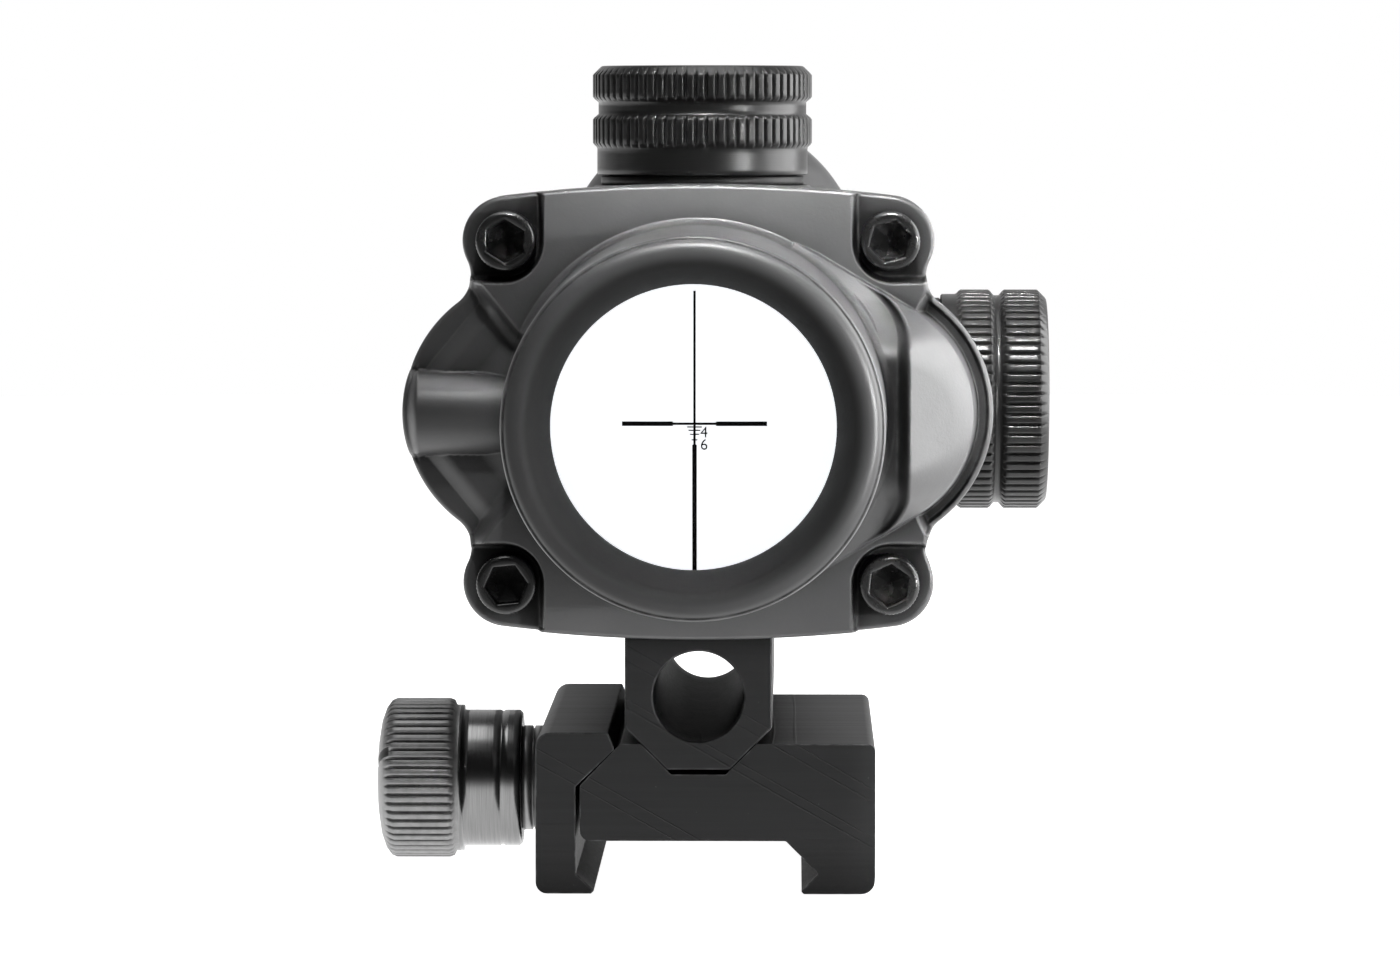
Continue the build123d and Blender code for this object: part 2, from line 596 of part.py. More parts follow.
def clamp_base():
    groove_top = RISER_FOOT + BASE_TOP - RISER_BOTTOM
    groove_foot = RISER_FOOT + GROOVE_BOTTOM - RISER_BOTTOM
    tooth_z = -NOTCH_DEPTH - (RAIL_HALF - TOOTH_TIP)
    section = polygon(
        (BASE_LEFT + 0.8, 0), (RAIL_HALF - NOTCH_DEPTH, 0), (RAIL_HALF, -NOTCH_DEPTH),
        (TOOTH_TIP, tooth_z), (TOOTH_TIP + 0.25, CLAMP_BOTTOM),
        (BASE_RIGHT - 1, CLAMP_BOTTOM), (BASE_RIGHT, CLAMP_BOTTOM + 1),
        (BASE_RIGHT, BASE_TOP - 0.8), (BASE_RIGHT - 0.8, BASE_TOP),
        (groove_top, BASE_TOP), (groove_foot, GROOVE_BOTTOM),
        (-groove_foot, GROOVE_BOTTOM), (-groove_top, BASE_TOP), (-6.9, BASE_TOP),
        (BASE_LEFT, BASE_TOP - 3.7), (BASE_LEFT, 0.8),
    )
    body = lengthwise(section, -CLAMP_LENGTH / 2, CLAMP_LENGTH / 2)
    body -= rod("X", BOLT_R + RUNNING, -12, 12, 0, BOLT_Z)
    body -= rod("X", NUT_R, NUT_LEFT, 17, 0, BOLT_Z)
    for y in base_bolt_places():
        body -= rod("Z", BASE_BOLT_HOLE_R, -1, 8, 0, y)
        body -= rod("Z", BASE_HEAD_HOLE_R, -1, BASE_HEAD_TOP, 0, y)
    return body


def clamp_base_bolts():
    bolts = []
    for y in base_bolt_places():
        head = rod("Z", BASE_HEAD_R, BASE_HEAD_BOTTOM, BASE_HEAD_TOP, 0, y)
        shank = rod("Z", BASE_BOLT_R, BASE_HEAD_TOP, BASE_BOLT_TOP, 0, y)
        socket = extrude(Pos(0, y, 0) * RegularPolygon(1.3, 6), amount=1.4)
        bolts.append(head + shank - socket)
    return Compound(children=bolts)


def clamp_nut():
    return rod("X", NUT_R, NUT_LEFT, NUT_RIGHT, 0, BOLT_Z) - rod(
        "X", BOLT_R + RUNNING, 10, 16, 0, BOLT_Z
    )


def clamp_jaw():
    tooth_z = CLAMP_BOTTOM + 0.3
    section = polygon(
        (JAW_INNER, BASE_TOP - 3.8), (JAW_INNER, -NOTCH_DEPTH), (-9.2, tooth_z),
        (-9.5, CLAMP_BOTTOM), (JAW_OUTER + 1, CLAMP_BOTTOM), (JAW_OUTER, CLAMP_BOTTOM + 1),
        (JAW_OUTER, JAW_TOP - 1.4), (JAW_OUTER + 1.4, JAW_TOP), (-8.0, JAW_TOP),
        (-7.4, BASE_TOP - 0.5),
    )
    body = lengthwise(section, -CLAMP_LENGTH / 2, CLAMP_LENGTH / 2)
    return body - rod("X", BOLT_R + RUNNING, -16, -9, 0, BOLT_Z)


def clamp_washer():
    return rod("X", WASHER_R, KNOB_FACE, JAW_OUTER - 0.02, 0, BOLT_Z) - rod(
        "X", BOLT_R, -18, -14, 0, BOLT_Z
    )


def clamp_bolt():
    return rod("X", BOLT_R, BOLT_LEFT, BOLT_RIGHT, 0, BOLT_Z)


def clamp_knob():
    start = turned_up(
        (0, KNOB_FACE), (KNOB_NECK_R, KNOB_FACE), (KNOB_NECK_R, KNOB_SHOULDER + 0.7),
        (KNOB_R - 0.6, KNOB_SHOULDER + 0.7), (KNOB_R - 0.6, KNOB_SHOULDER),
        (KNOB_R, KNOB_SHOULDER - 0.6), (KNOB_R, -28.2), (5.6, -29.3), (0, KNOB_END),
    )
    body = Pos(0, 0, BOLT_Z) * Rot(0, 90, 0) * start
    body -= rod("X", BOLT_R, BOLT_LEFT, -10, 0, BOLT_Z)
    slot = block((KNOB_END - 1.2, SLOT_FLOOR), (-8, 8), (BOLT_Z - SLOT_HALF, BOLT_Z + SLOT_HALF))
    return body - slot


def build():
    parts = {
        "main_housing": main_housing(),
        "rear_cover": rear_cover(),
        "rear_cover_gasket": rear_cover_gasket(),
        "rear_cover_screws": rear_cover_screws(),
        "eye_lens": eye_lens(),
        "eye_lens_spacer": spacer(-46.0, -43.0, 12.4),
        "reticle_disc": reticle_disc(),
        "reticle_marks": reticle_marks(),
        "field_lens_spacer": spacer(-41.5, -39.5, 12.0),
        "field_lens": field_lens(),
        "eyepiece_retainer": spacer(-36.5, -33.5, 11.5),
        "gimbal_base": gimbal_base(),
        "gimbal_ring": gimbal_ring(),
        "gimbal_pins": gimbal_pins(),
        "prism_carriage": prism_carriage(),
        "half_penta_prism": half_penta_prism(),
        "roof_prism": roof_prism(),
        "prism_clip": prism_clip(),
        "lower_return_spring": lower_return_spring(),
        "side_return_spring": side_return_spring(),
        "light_baffle": light_baffle(),
        "objective_crown_lens": objective_crown_lens(),
        "objective_flint_lens": objective_flint_lens(),
        "objective_oring": objective_oring(),
        "objective_retainer": objective_retainer(),
        "riser_block": riser_block(),
        "riser_screws": riser_screws(),
        "clamp_base": clamp_base(),
        "clamp_base_bolts": clamp_base_bolts(),
        "clamp_nut": clamp_nut(),
        "clamp_jaw": clamp_jaw(),
        "clamp_washer": clamp_washer(),
        "clamp_bolt": clamp_bolt(),
        "clamp_knob": clamp_knob(),
    }
    makers = {
        "turret_base": turret_base,
        "detent_spring": turret_detent_spring,
        "detent_ball": turret_detent_ball,
        "cap_oring": turret_oring,
        "dial": turret_dial,
        "plunger": turret_plunger,
        "cap": turret_cap,
        "cap_seal": turret_cap_seal,
    }
    for turret, sizes, place in (
        ("elevation", ELEVATION, on_axis),
        ("windage", WINDAGE, to_side),
    ):
        for name, make in makers.items():
            parts[f"{turret}_{name}"] = place * make(sizes)
    return parts


os.makedirs("parts", exist_ok=True)
for name, part in build().items():
    export_step(part, f"parts/{name}.step")
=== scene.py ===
import json
import math

import bmesh
import bpy
import numpy as np
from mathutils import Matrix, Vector

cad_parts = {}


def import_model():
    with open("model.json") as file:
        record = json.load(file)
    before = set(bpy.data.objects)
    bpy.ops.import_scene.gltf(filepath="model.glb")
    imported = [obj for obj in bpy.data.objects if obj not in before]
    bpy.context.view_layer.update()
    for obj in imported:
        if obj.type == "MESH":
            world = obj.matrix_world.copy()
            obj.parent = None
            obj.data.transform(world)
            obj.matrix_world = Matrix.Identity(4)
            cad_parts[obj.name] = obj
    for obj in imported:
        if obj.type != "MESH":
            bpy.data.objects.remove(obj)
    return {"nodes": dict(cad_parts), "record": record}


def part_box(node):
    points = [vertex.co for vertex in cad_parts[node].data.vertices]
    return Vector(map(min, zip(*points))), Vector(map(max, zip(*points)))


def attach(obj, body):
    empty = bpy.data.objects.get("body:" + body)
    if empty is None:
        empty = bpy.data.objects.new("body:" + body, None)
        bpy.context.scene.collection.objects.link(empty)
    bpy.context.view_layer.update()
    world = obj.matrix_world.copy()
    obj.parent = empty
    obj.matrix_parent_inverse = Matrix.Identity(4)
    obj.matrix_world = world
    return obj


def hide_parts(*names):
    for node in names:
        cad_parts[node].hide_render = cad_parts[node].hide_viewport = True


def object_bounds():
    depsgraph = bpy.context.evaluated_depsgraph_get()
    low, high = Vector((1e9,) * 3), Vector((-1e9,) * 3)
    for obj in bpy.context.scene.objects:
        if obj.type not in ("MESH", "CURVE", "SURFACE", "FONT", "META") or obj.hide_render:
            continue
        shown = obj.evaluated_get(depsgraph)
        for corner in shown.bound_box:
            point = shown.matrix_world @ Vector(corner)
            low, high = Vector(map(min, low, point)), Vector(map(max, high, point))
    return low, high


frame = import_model()
cad_low, cad_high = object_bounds()

# All shapes below are in millimetres, drawn about the optical axis or the rail seat,
# and turned into metres when they become meshes.
MM = 0.001
TAU = 2 * math.pi


def middle(node):
    low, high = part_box(node)
    return [(a + b) / 2 / MM for a, b in zip(low, high)]


def low_of(node):
    return [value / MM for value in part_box(node)[0]]


def high_of(node):
    return [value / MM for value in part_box(node)[1]]


AXIS_Z = middle("eye_lens")[2]
ON_AXIS = (0, 0, AXIS_Z)

# ---- mesh helpers


def mesh_object(name, points, faces, body, node_slot, replaced, smooth=True):
    """Makes a piece from points in millimetres, gives it a finish and puts it on a body."""
    mesh = bpy.data.meshes.new(name)
    mesh.from_pydata((np.asarray(points) * MM).tolist(), [], faces)
    mesh.validate()
    piece = bpy.data.objects.new(name, mesh)
    bpy.context.scene.collection.objects.link(piece)
    clean = bmesh.new()
    clean.from_mesh(mesh)
    bmesh.ops.remove_doubles(clean, verts=clean.verts, dist=1e-7)
    bmesh.ops.recalc_face_normals(clean, faces=clean.faces)
    clean.to_mesh(mesh)
    clean.free()
    if smooth:
        mesh.shade_smooth()
    mesh.materials.append(finishes[node_slot])
    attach(piece, body)
    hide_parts(*replaced)
    return piece


def grid_faces(rows, columns, first=0):
    """Quads of a grid that closes on itself both ways."""
    faces = []
    for i in range(rows):
        after = (i + 1) % rows
        for j in range(columns):
            beside = (j + 1) % columns
            faces.append((
                first + i * columns + j, first + i * columns + beside,
                first + after * columns + beside, first + after * columns + j,
            ))
    return faces


def soften(piece, width):
    """Rounds a piece's sharp edges."""
    bevel = piece.modifiers.new("edge_rounding", "BEVEL")
    bevel.width = width * MM
    bevel.segments = 3
    bevel.limit_method = "ANGLE"
    bevel.angle_limit = 0.6
    bevel.harden_normals = True
    piece.data.shade_smooth()


def arc(centre, radius, start, end, steps):
    """Points on an arc, angles in degrees."""
    angles = np.radians(np.linspace(start, end, steps))
    return [(centre[0] + radius * math.cos(a), centre[1] + radius * math.sin(a)) for a in angles]


def rounded_outline(points, radii, steps=5):
    """Replaces each corner of a polygon with an arc of its radius."""
    outline = []
    count = len(points)
    for i, radius in enumerate(radii):
        here = Vector(points[i])
        back = (Vector(points[i - 1]) - here).normalized()
        ahead = (Vector(points[(i + 1) % count]) - here).normalized()
        half = back.angle(ahead) / 2
        reach = radius / math.tan(half)
        centre = here + (back + ahead).normalized() * (radius / math.sin(half))
        first, last = here + back * reach - centre, here + ahead * reach - centre
        turn = first.angle_signed(last)
        for k in range(steps + 1):
            angle = -turn * k / steps
            cos, sin = math.cos(angle), math.sin(angle)
            outline.append((
                centre.x + first.x * cos - first.y * sin,
                centre.y + first.x * sin + first.y * cos,
            ))
    return outline


def placed(axis, radius, along, angle, centre):
    """Points of a turned shape about X, Y or Z through centre."""
    across, up = radius * np.cos(angle), radius * np.sin(angle)
    if axis == "X":
        columns = (along, across, up)
    elif axis == "Y":
        columns = (across, along, up)
    else:
        columns = (across, up, along)
    stacked = np.stack([column + shift for column, shift in zip(columns, centre)], axis=-1)
    return stacked.reshape(-1, 3)


def even_turn(count):
    return np.arange(count) * TAU / count


def skin(loops, angles):
    """Radius, along and angle at each point of a skin through loops of (radius, along).

    Both may be one number or one value for each angle.
    """
    radius, along = [
        np.stack([np.broadcast_to(loop[k], angles.shape) for loop in loops], 1) for k in (0, 1)
    ]
    return radius, along, np.broadcast_to(angles[:, None], radius.shape)


def turned(name, profile, axis, centre, segments, body, node_slot, replaced, ripple=None):
    """Turns a closed outline of (radius, along) points. ripple changes the radius by angle."""
    radius, along, angle = skin(profile, even_turn(segments))
    if ripple is not None:
        radius = radius + ripple(radius, along, angle)
    points = placed(axis, radius, along, angle, centre)
    return mesh_object(name, points, grid_faces(segments, len(profile)), body, node_slot, replaced)


def dense(profile, step, closed=True):
    """Adds points along an outline so that none are further apart than step."""
    result = []
    ends = profile[1:] + profile[:1] if closed else profile[1:]
    for start, end in zip(profile, ends):
        parts = max(1, int(math.ceil(math.dist(start, end) / step)))
        for k in range(parts):
            share = k / parts
            result.append((
                start[0] + share * (end[0] - start[0]), start[1] + share * (end[1] - start[1])
            ))
    if not closed:
        result.append(profile[-1])
    return result


def rise(value, start, end):
    """0 before start, 1 after end, smooth between."""
    share = np.clip((value - start) / (end - start), 0, 1)
    return share * share * (3 - 2 * share)


def smooth_max(a, b, blend):
    share = np.clip(0.5 + 0.5 * (a - b) / blend, 0, 1)
    return b + (a - b) * share + blend * share * (1 - share)


def extruded(name, outline, start, end, body, replaced, holes, rounding):
    """Extrudes an outline of (x, z) points along Y, cuts round holes, then rounds the edges.

    A hole is (axis, radius, first, last, a, b) as for a rod along X, Y or Z.
    """
    count = len(outline)
    points = [(x, y, z) for y in (start, end) for x, z in outline]
    faces = [tuple(range(count)), tuple(range(2 * count - 1, count - 1, -1))]
    faces += [(i, (i + 1) % count, count + (i + 1) % count, count + i) for i in range(count)]
    piece = mesh_object(name, points, faces, body, "machined_black", replaced, smooth=False)
    cut_holes(piece, holes)
    soften(piece, rounding)


def cut_holes(piece, holes):
    """Cuts round holes out of a piece and keeps the result as its mesh."""
    for axis, radius, first, last, a, b in holes:
        shape = bmesh.new()
        bmesh.ops.create_cone(
            shape, cap_ends=True, segments=96, radius1=radius * MM, radius2=radius * MM,
            depth=(last - first) * MM,
        )
        along = (first + last) / 2
        for v in shape.verts:
            x, y, z = v.co / MM
            if axis == "X":
                v.co = Vector((z + along, x + a, y + b)) * MM
            elif axis == "Y":
                v.co = Vector((x + a, z + along, y + b)) * MM
            else:
                v.co = Vector((x + a, y + b, z + along)) * MM
        bmesh.ops.recalc_face_normals(shape, faces=shape.faces)
        tool = bpy.data.meshes.new("hole")
        shape.to_mesh(tool)
        shape.free()
        subtract(piece, tool)


def subtract(piece, tool):
    """Cuts a closed mesh out of a piece."""
    cutter = bpy.data.objects.new("cutter", tool)
    bpy.context.scene.collection.objects.link(cutter)
    cut = piece.modifiers.new("cut", "BOOLEAN")
    cut.object = cutter
    cut.solver = "EXACT"
    bpy.context.view_layer.update()
    graph = bpy.context.evaluated_depsgraph_get()
    done = bpy.data.meshes.new_from_object(piece.evaluated_get(graph))
    piece.modifiers.clear()
    piece.data = done
    bpy.data.objects.remove(cutter)


def section_radius(outline, angles):
    """Distance from the origin to a star-shaped outline at each angle."""
    points = np.array(outline)
    bearings = np.arctan2(points[:, 1], points[:, 0]) % TAU
    order = np.argsort(bearings)
    distances = np.hypot(points[:, 0], points[:, 1])
    return np.interp(angles % TAU, bearings[order], distances[order], period=TAU)


# ---- materials


class Nodes:
    """A short way to write a material's node tree."""

    def __init__(self, name):
        self.material = bpy.data.materials.new(name)
        self.material.use_nodes = True
        self.tree = self.material.node_tree
        self.shader = self.tree.nodes["Principled BSDF"]
        self.place = self.add("ShaderNodeTexCoord").outputs["Object"]

    def add(self, kind, inputs=None, **settings):
        node = self.tree.nodes.new(kind)
        for key, value in settings.items():
            setattr(node, key, value)
        for key, value in (inputs or {}).items():
            node.inputs[key].default_value = value
        return node

    def link(self, source, target):
        self.tree.links.new(source, target)

    def stretched(self, stretch, turn=(0, 0, 0)):
        """Object coordinates turned by angles, then stretched along each axis."""
        values = {"Scale": stretch, "Rotation": turn}
        node = self.add("ShaderNodeMapping", values, vector_type="TEXTURE")
        self.link(self.place, node.inputs["Vector"])
        return node.outputs["Vector"]

    def noise(self, size_mm, detail=3.0, rough=0.5, place=None):
        """Noise with features of about size_mm."""
        values = {"Scale": 1 / (size_mm * MM), "Detail": detail, "Roughness": rough}
        node = self.add("ShaderNodeTexNoise", values)
        self.link(place or self.place, node.inputs["Vector"])
        return node.outputs["Fac"]

    def ramp(self, source, *stops):
        node = self.add("ShaderNodeValToRGB")
        elements = node.color_ramp.elements
        while len(elements) < len(stops):
            elements.new(0.5)
        for element, (position, value) in zip(elements, stops):
            element.position = position
            element.color = (value, value, value, 1)
        self.link(source, node.inputs["Fac"])
        return node.outputs["Color"]

    def span(self, source, low, high, start=0.0, end=1.0, step="LINEAR"):
        """Low where the source is at start, high where it is at end."""
        limits = {"From Min": start, "From Max": end, "To Min": low, "To Max": high}
        node = self.add("ShaderNodeMapRange", limits, interpolation_type=step)
        self.link(source, node.inputs["Value"])
        return node.outputs["Result"]

    def mix(self, share, first, second):
        node = self.add("ShaderNodeMix", data_type="RGBA")
        for value, socket in ((share, 0), (first, 6), (second, 7)):
            if hasattr(value, "links"):
                self.link(value, node.inputs[socket])
            elif socket == 0:
                node.inputs[0].default_value = value
            else:
                node.inputs[socket].default_value = (*value, 1)
        return node.outputs[2]

    def calc(self, operation, first, second):
        node = self.add("ShaderNodeMath", operation=operation)
        for index, value in enumerate((first, second)):
            if hasattr(value, "links"):
                self.link(value, node.inputs[index])
            else:
                node.inputs[index].default_value = value
        return node.outputs[0]

    def edges(self, radius_mm, reach):
        """1 where the surface turns sharply within radius_mm, 0 on flats."""
        rounded = self.add("ShaderNodeBevel", {"Radius": radius_mm * MM}, samples=4)
        plain = self.add("ShaderNodeNewGeometry").outputs["Normal"]
        dot = self.add("ShaderNodeVectorMath", operation="DOT_PRODUCT")
        self.link(rounded.outputs["Normal"], dot.inputs[0])
        self.link(plain, dot.inputs[1])
        return self.ramp(self.calc("SUBTRACT", 1.0, dot.outputs["Value"]), (0.0, 0.0), (reach, 1.0))

    def edge_wear_and_highlight(self, radius_mm, reach, spots, low, high):
        """Edges lightened as rubbed wear and as painted highlight, only where spots are above low,
        and fully above high.
        """
        scuffed_and_highlit = self.ramp(spots, (low, 0.0), (high, 1.0))
        return self.calc("MULTIPLY", self.edges(radius_mm, reach), scuffed_and_highlit)

    def from_axis(self):
        """Distance from the optical axis, in metres."""
        point = self.place
        for operation, factor in (("SUBTRACT", (0, 0, AXIS_Z * MM)), ("MULTIPLY", (1, 0, 1))):
            node = self.add("ShaderNodeVectorMath", {1: factor}, operation=operation)
            self.link(point, node.inputs[0])
            point = node.outputs[0]
        length = self.add("ShaderNodeVectorMath", operation="LENGTH")
        self.link(point, length.inputs[0])
        return length.outputs["Value"]

    def coordinate(self, letter):
        split = self.add("ShaderNodeSeparateXYZ")
        self.link(self.place, split.inputs[0])
        return split.outputs[letter]

    def hollows(self, distance_mm):
        """Ambient occlusion: 1 on open surfaces, towards 0 in hollows of about distance_mm; the
        finishes darken by it as painted shade.
        """
        reach = {"Distance": distance_mm * MM}
        return self.add("ShaderNodeAmbientOcclusion", reach, samples=6).outputs["AO"]

    def bump(self, *layers):
        """Layers of (height, depth in mm); the last is the one the shader reads."""
        normal = None
        for height, depth in layers:
            node = self.add("ShaderNodeBump", {"Strength": 1.0, "Distance": depth * MM})
            self.link(height, node.inputs["Height"])
            if normal is not None:
                self.link(normal, node.inputs["Normal"])
            normal = node.outputs["Normal"]
        self.link(normal, self.shader.inputs["Normal"])

    def set(self, **values):
        for name, value in values.items():
            socket = self.shader.inputs[name.replace("_", " ")]
            if hasattr(value, "links"):
                self.link(value, socket)
            else:
                socket.default_value = value


def cast_black():
    """Satin black coat over fine cast grain, paler at edges as rubbed wear and as painted highlight,
    with painted shade in hollows.
    """
    n = Nodes("cast_black")
    grain = n.noise(0.3, 4.0, 0.65)
    cloud = n.noise(9.0, 4.0, 0.6)
    # Ambient occlusion over wide and narrow hollows, for painted shade
    broad = n.ramp(n.hollows(6.0), (0.12, 0.0), (0.90, 1.0))
    tight = n.ramp(n.hollows(2.2), (0.50, 0.0), (0.90, 1.0))
    # Painted shade: the mouth of the eyepiece and everything inside the tube are darker
    outside = n.span(n.from_axis(), 0.25, 1.0, 13.7 * MM, 14.9 * MM, "SMOOTHSTEP")
    open_to_light = n.calc("MULTIPLY", n.calc("MULTIPLY", broad, tight), outside)
    # Edges lighten as rubbed wear and as painted highlight
    edge_wear_and_highlight = n.edge_wear_and_highlight(0.25, 0.05, n.noise(1.6, 4.0), 0.35, 0.65)
    thick, thin = (0.050, 0.050, 0.051), (0.066, 0.066, 0.067)
    coat = n.mix(n.ramp(cloud, (0.3, 0.0), (0.7, 1.0)), thick, thin)
    # Painted shade: near-black base colour in hollows and in the mouth, with less reflection and
    # more roughness there
    base = n.mix(open_to_light, (0.011,) * 3, coat)
    satin = n.span(n.noise(1.4, 4.0), 0.35, 0.46)
    n.set(
        Base_Color=n.mix(n.calc("MULTIPLY", edge_wear_and_highlight, 0.4), base, (0.26,) * 3),
        Metallic=0.0,
        Roughness=n.calc("ADD", satin, n.span(open_to_light, 0.2, 0.0)),
        Specular_IOR_Level=n.span(open_to_light, 0.10, 0.8),
    )
    n.bump((cloud, 0.03), (grain, 0.014))
    return n.material


def machined_black():
    """Black anodised bar: fine cutter lines along X, a few scratches, edges lightened as rubbed wear
    and as painted highlight, painted shade in hollows.
    """
    n = Nodes("machined_black")
    lines = n.noise(0.35, 3.0, 0.6, n.stretched((50, 2, 1)))
    diagonal = n.noise(3.2, 1.0, 0.5, n.stretched((40, 40, 1), (0, 0.52, 0)))
    scratch = n.ramp(diagonal, (0.600, 0.0), (0.612, 1.0), (0.624, 0.0))
    dust = n.ramp(n.noise(0.45, 2.0), (0.72, 0.0), (0.78, 1.0))
    # Edges lighten as rubbed wear and as painted highlight
    edge_wear_and_highlight = n.edge_wear_and_highlight(0.2, 0.08, n.noise(1.2, 4.0), 0.42, 0.62)
    # Painted shade: hollows get a near-black base colour and almost no reflection
    open_to_light = n.ramp(n.hollows(9.0), (0.35, 0.0), (0.8, 1.0))
    anodised = n.mix(lines, (0.008, 0.008, 0.0085), (0.018, 0.018, 0.0185))
    base = n.mix(open_to_light, (0.004,) * 3, anodised)
    marked = n.mix(n.calc("MULTIPLY", scratch, 0.85), base, (0.003,) * 3)
    dusty = n.mix(n.calc("MULTIPLY", dust, 0.2), marked, (0.2,) * 3)
    n.set(
        Base_Color=n.mix(n.calc("MULTIPLY", edge_wear_and_highlight, 0.35), dusty, (0.3, 0.3, 0.31)),
        Metallic=0.0,
        Roughness=n.span(lines, 0.40, 0.56),
        Specular_IOR_Level=n.span(open_to_light, 0.012, 0.38),
    )
    n.bump((scratch, 0.025), (lines, 0.012))
    return n.material


def turned_finish(name, dark, light, metallic, rough, axis, edge_glint_and_wear_tone, shine):
    """A lathe-turned surface: rings about its own axis, edges lightened as rubbed wear and as
    painted highlight, painted shade in grooves.
    """
    n = Nodes(name)
    squash = {"Y": (7, 0.25, 7), "Z": (7, 7, 0.25)}[axis]
    rings = n.noise(0.6, 4.0, 0.6, n.stretched(squash))
    spots = n.noise(1.1, 4.0)
    # Painted shade: grooves and other hollows get a far darker base colour, no metal and more
    # roughness
    open_to_light = n.ramp(n.hollows(1.2), (0.3, 0.0), (0.8, 1.0))
    # Edges lighten as rubbed wear and as painted highlight, less so in hollows
    edge_wear_and_highlight = n.edge_wear_and_highlight(0.12, 0.08, spots, 0.35, 0.6)
    edge_wear_and_highlight = n.calc("MULTIPLY", edge_wear_and_highlight, n.span(open_to_light, 0.2, 1.0))
    base = n.mix(open_to_light, (dark * 0.1,) * 3, n.mix(rings, (dark,) * 3, (light,) * 3))
    satin = n.span(spots, rough - 0.07, rough + 0.09)
    n.set(
        Base_Color=n.mix(n.calc("MULTIPLY", edge_wear_and_highlight, 0.5), base, (edge_glint_and_wear_tone,) * 3),
        Metallic=n.span(open_to_light, 0.0, metallic) if metallic else 0.0,
        Roughness=n.calc("ADD", satin, n.span(open_to_light, 0.25, 0.0)),
        Specular_IOR_Level=shine,
    )
    n.bump((spots, 0.005), (rings, 0.01))
    return n.material


def knob_finish():
    """Grey phosphated knurled head; the neck is polished black with turned rings."""
    n = Nodes("knob_steel")
    rings = n.noise(0.5, 4.0, 0.6, n.stretched((0.2, 10, 10)))
    spots = n.noise(0.9, 4.0, 0.6)
    neck_start = (low_of("clamp_knob")[0] + 7.6) * MM
    on_neck = n.calc("GREATER_THAN", n.coordinate("X"), neck_start)
    # Painted shade: the knurl's grooves and other hollows get a near-black head colour
    open_to_light = n.ramp(n.hollows(1.2), (0.3, 0.0), (0.8, 1.0))
    # Edges lighten as rubbed wear and as painted highlight
    edge_wear_and_highlight = n.edge_wear_and_highlight(0.12, 0.08, spots, 0.35, 0.6)
    head = n.mix(open_to_light, (0.012,) * 3, n.mix(spots, (0.14,) * 3, (0.34,) * 3))
    scuffed_and_highlit = n.mix(n.calc("MULTIPLY", edge_wear_and_highlight, 0.6), head, (0.5,) * 3)
    n.set(
        Base_Color=n.mix(on_neck, scuffed_and_highlit, n.mix(rings, (0.12,) * 3, (0.30,) * 3)),
        Metallic=n.span(on_neck, 0.6, 1.0),
        Roughness=n.mix(on_neck, n.span(spots, 0.36, 0.5), (0.24,) * 3),
        Specular_IOR_Level=0.6,
    )
    grain = n.calc("MULTIPLY", n.noise(0.22, 3.0, 0.7), n.span(on_neck, 1.0, 0.0))
    n.bump((grain, 0.012), (rings, 0.0025))
    return n.material


def plain_metal(name, dark, light, metallic, rough):
    """Small hidden or half-hidden metal pieces with a fine mottled finish."""
    n = Nodes(name)
    spots = n.noise(0.8, 4.0, 0.6)
    n.set(
        Base_Color=n.mix(spots, dark, light),
        Metallic=metallic,
        Roughness=n.span(spots, rough - 0.08, rough + 0.08),
    )
    n.bump((n.noise(0.25, 3.0), 0.006))
    return n.material


def rubber():
    n = Nodes("seal_rubber")
    spots = n.noise(0.3, 4.0, 0.6)
    n.set(
        Base_Color=n.mix(spots, (0.012,) * 3, (0.028,) * 3),
        Roughness=n.span(spots, 0.55, 0.75),
    )
    n.bump((spots, 0.01))
    return n.material


def glass(name, tint, coat):
    """Coated optical glass with the faintest polish haze."""
    n = Nodes(name)
    n.set(
        Base_Color=(*tint, 1),
        Transmission_Weight=1.0,
        IOR=1.12,
        Roughness=n.span(n.noise(6.0, 2.0), 0.0, 0.015),
        Coat_Weight=coat,
        Coat_Roughness=0.02,
        Coat_IOR=1.35,
    )
    return n.material


def glowing_field():
    """An evenly glowing white disc: painted light standing in for the lit field that the eyepiece
    shows.
    """
    n = Nodes("glowing_field")
    glow = n.ramp(n.noise(14.0, 2.0), (0.0, 0.97), (1.0, 1.0))
    n.set(
        Base_Color=(0.8, 0.8, 0.8, 1),
        Roughness=0.6,
        Emission_Color=glow,
        Emission_Strength=1.0,
    )
    return n.material


def reticle_ink():
    n = Nodes("reticle_ink")
    spots = n.noise(0.2, 2.0)
    n.set(Base_Color=n.mix(spots, (0.001,) * 3, (0.004,) * 3), Roughness=0.7, Specular_IOR_Level=0.1)
    return n.material


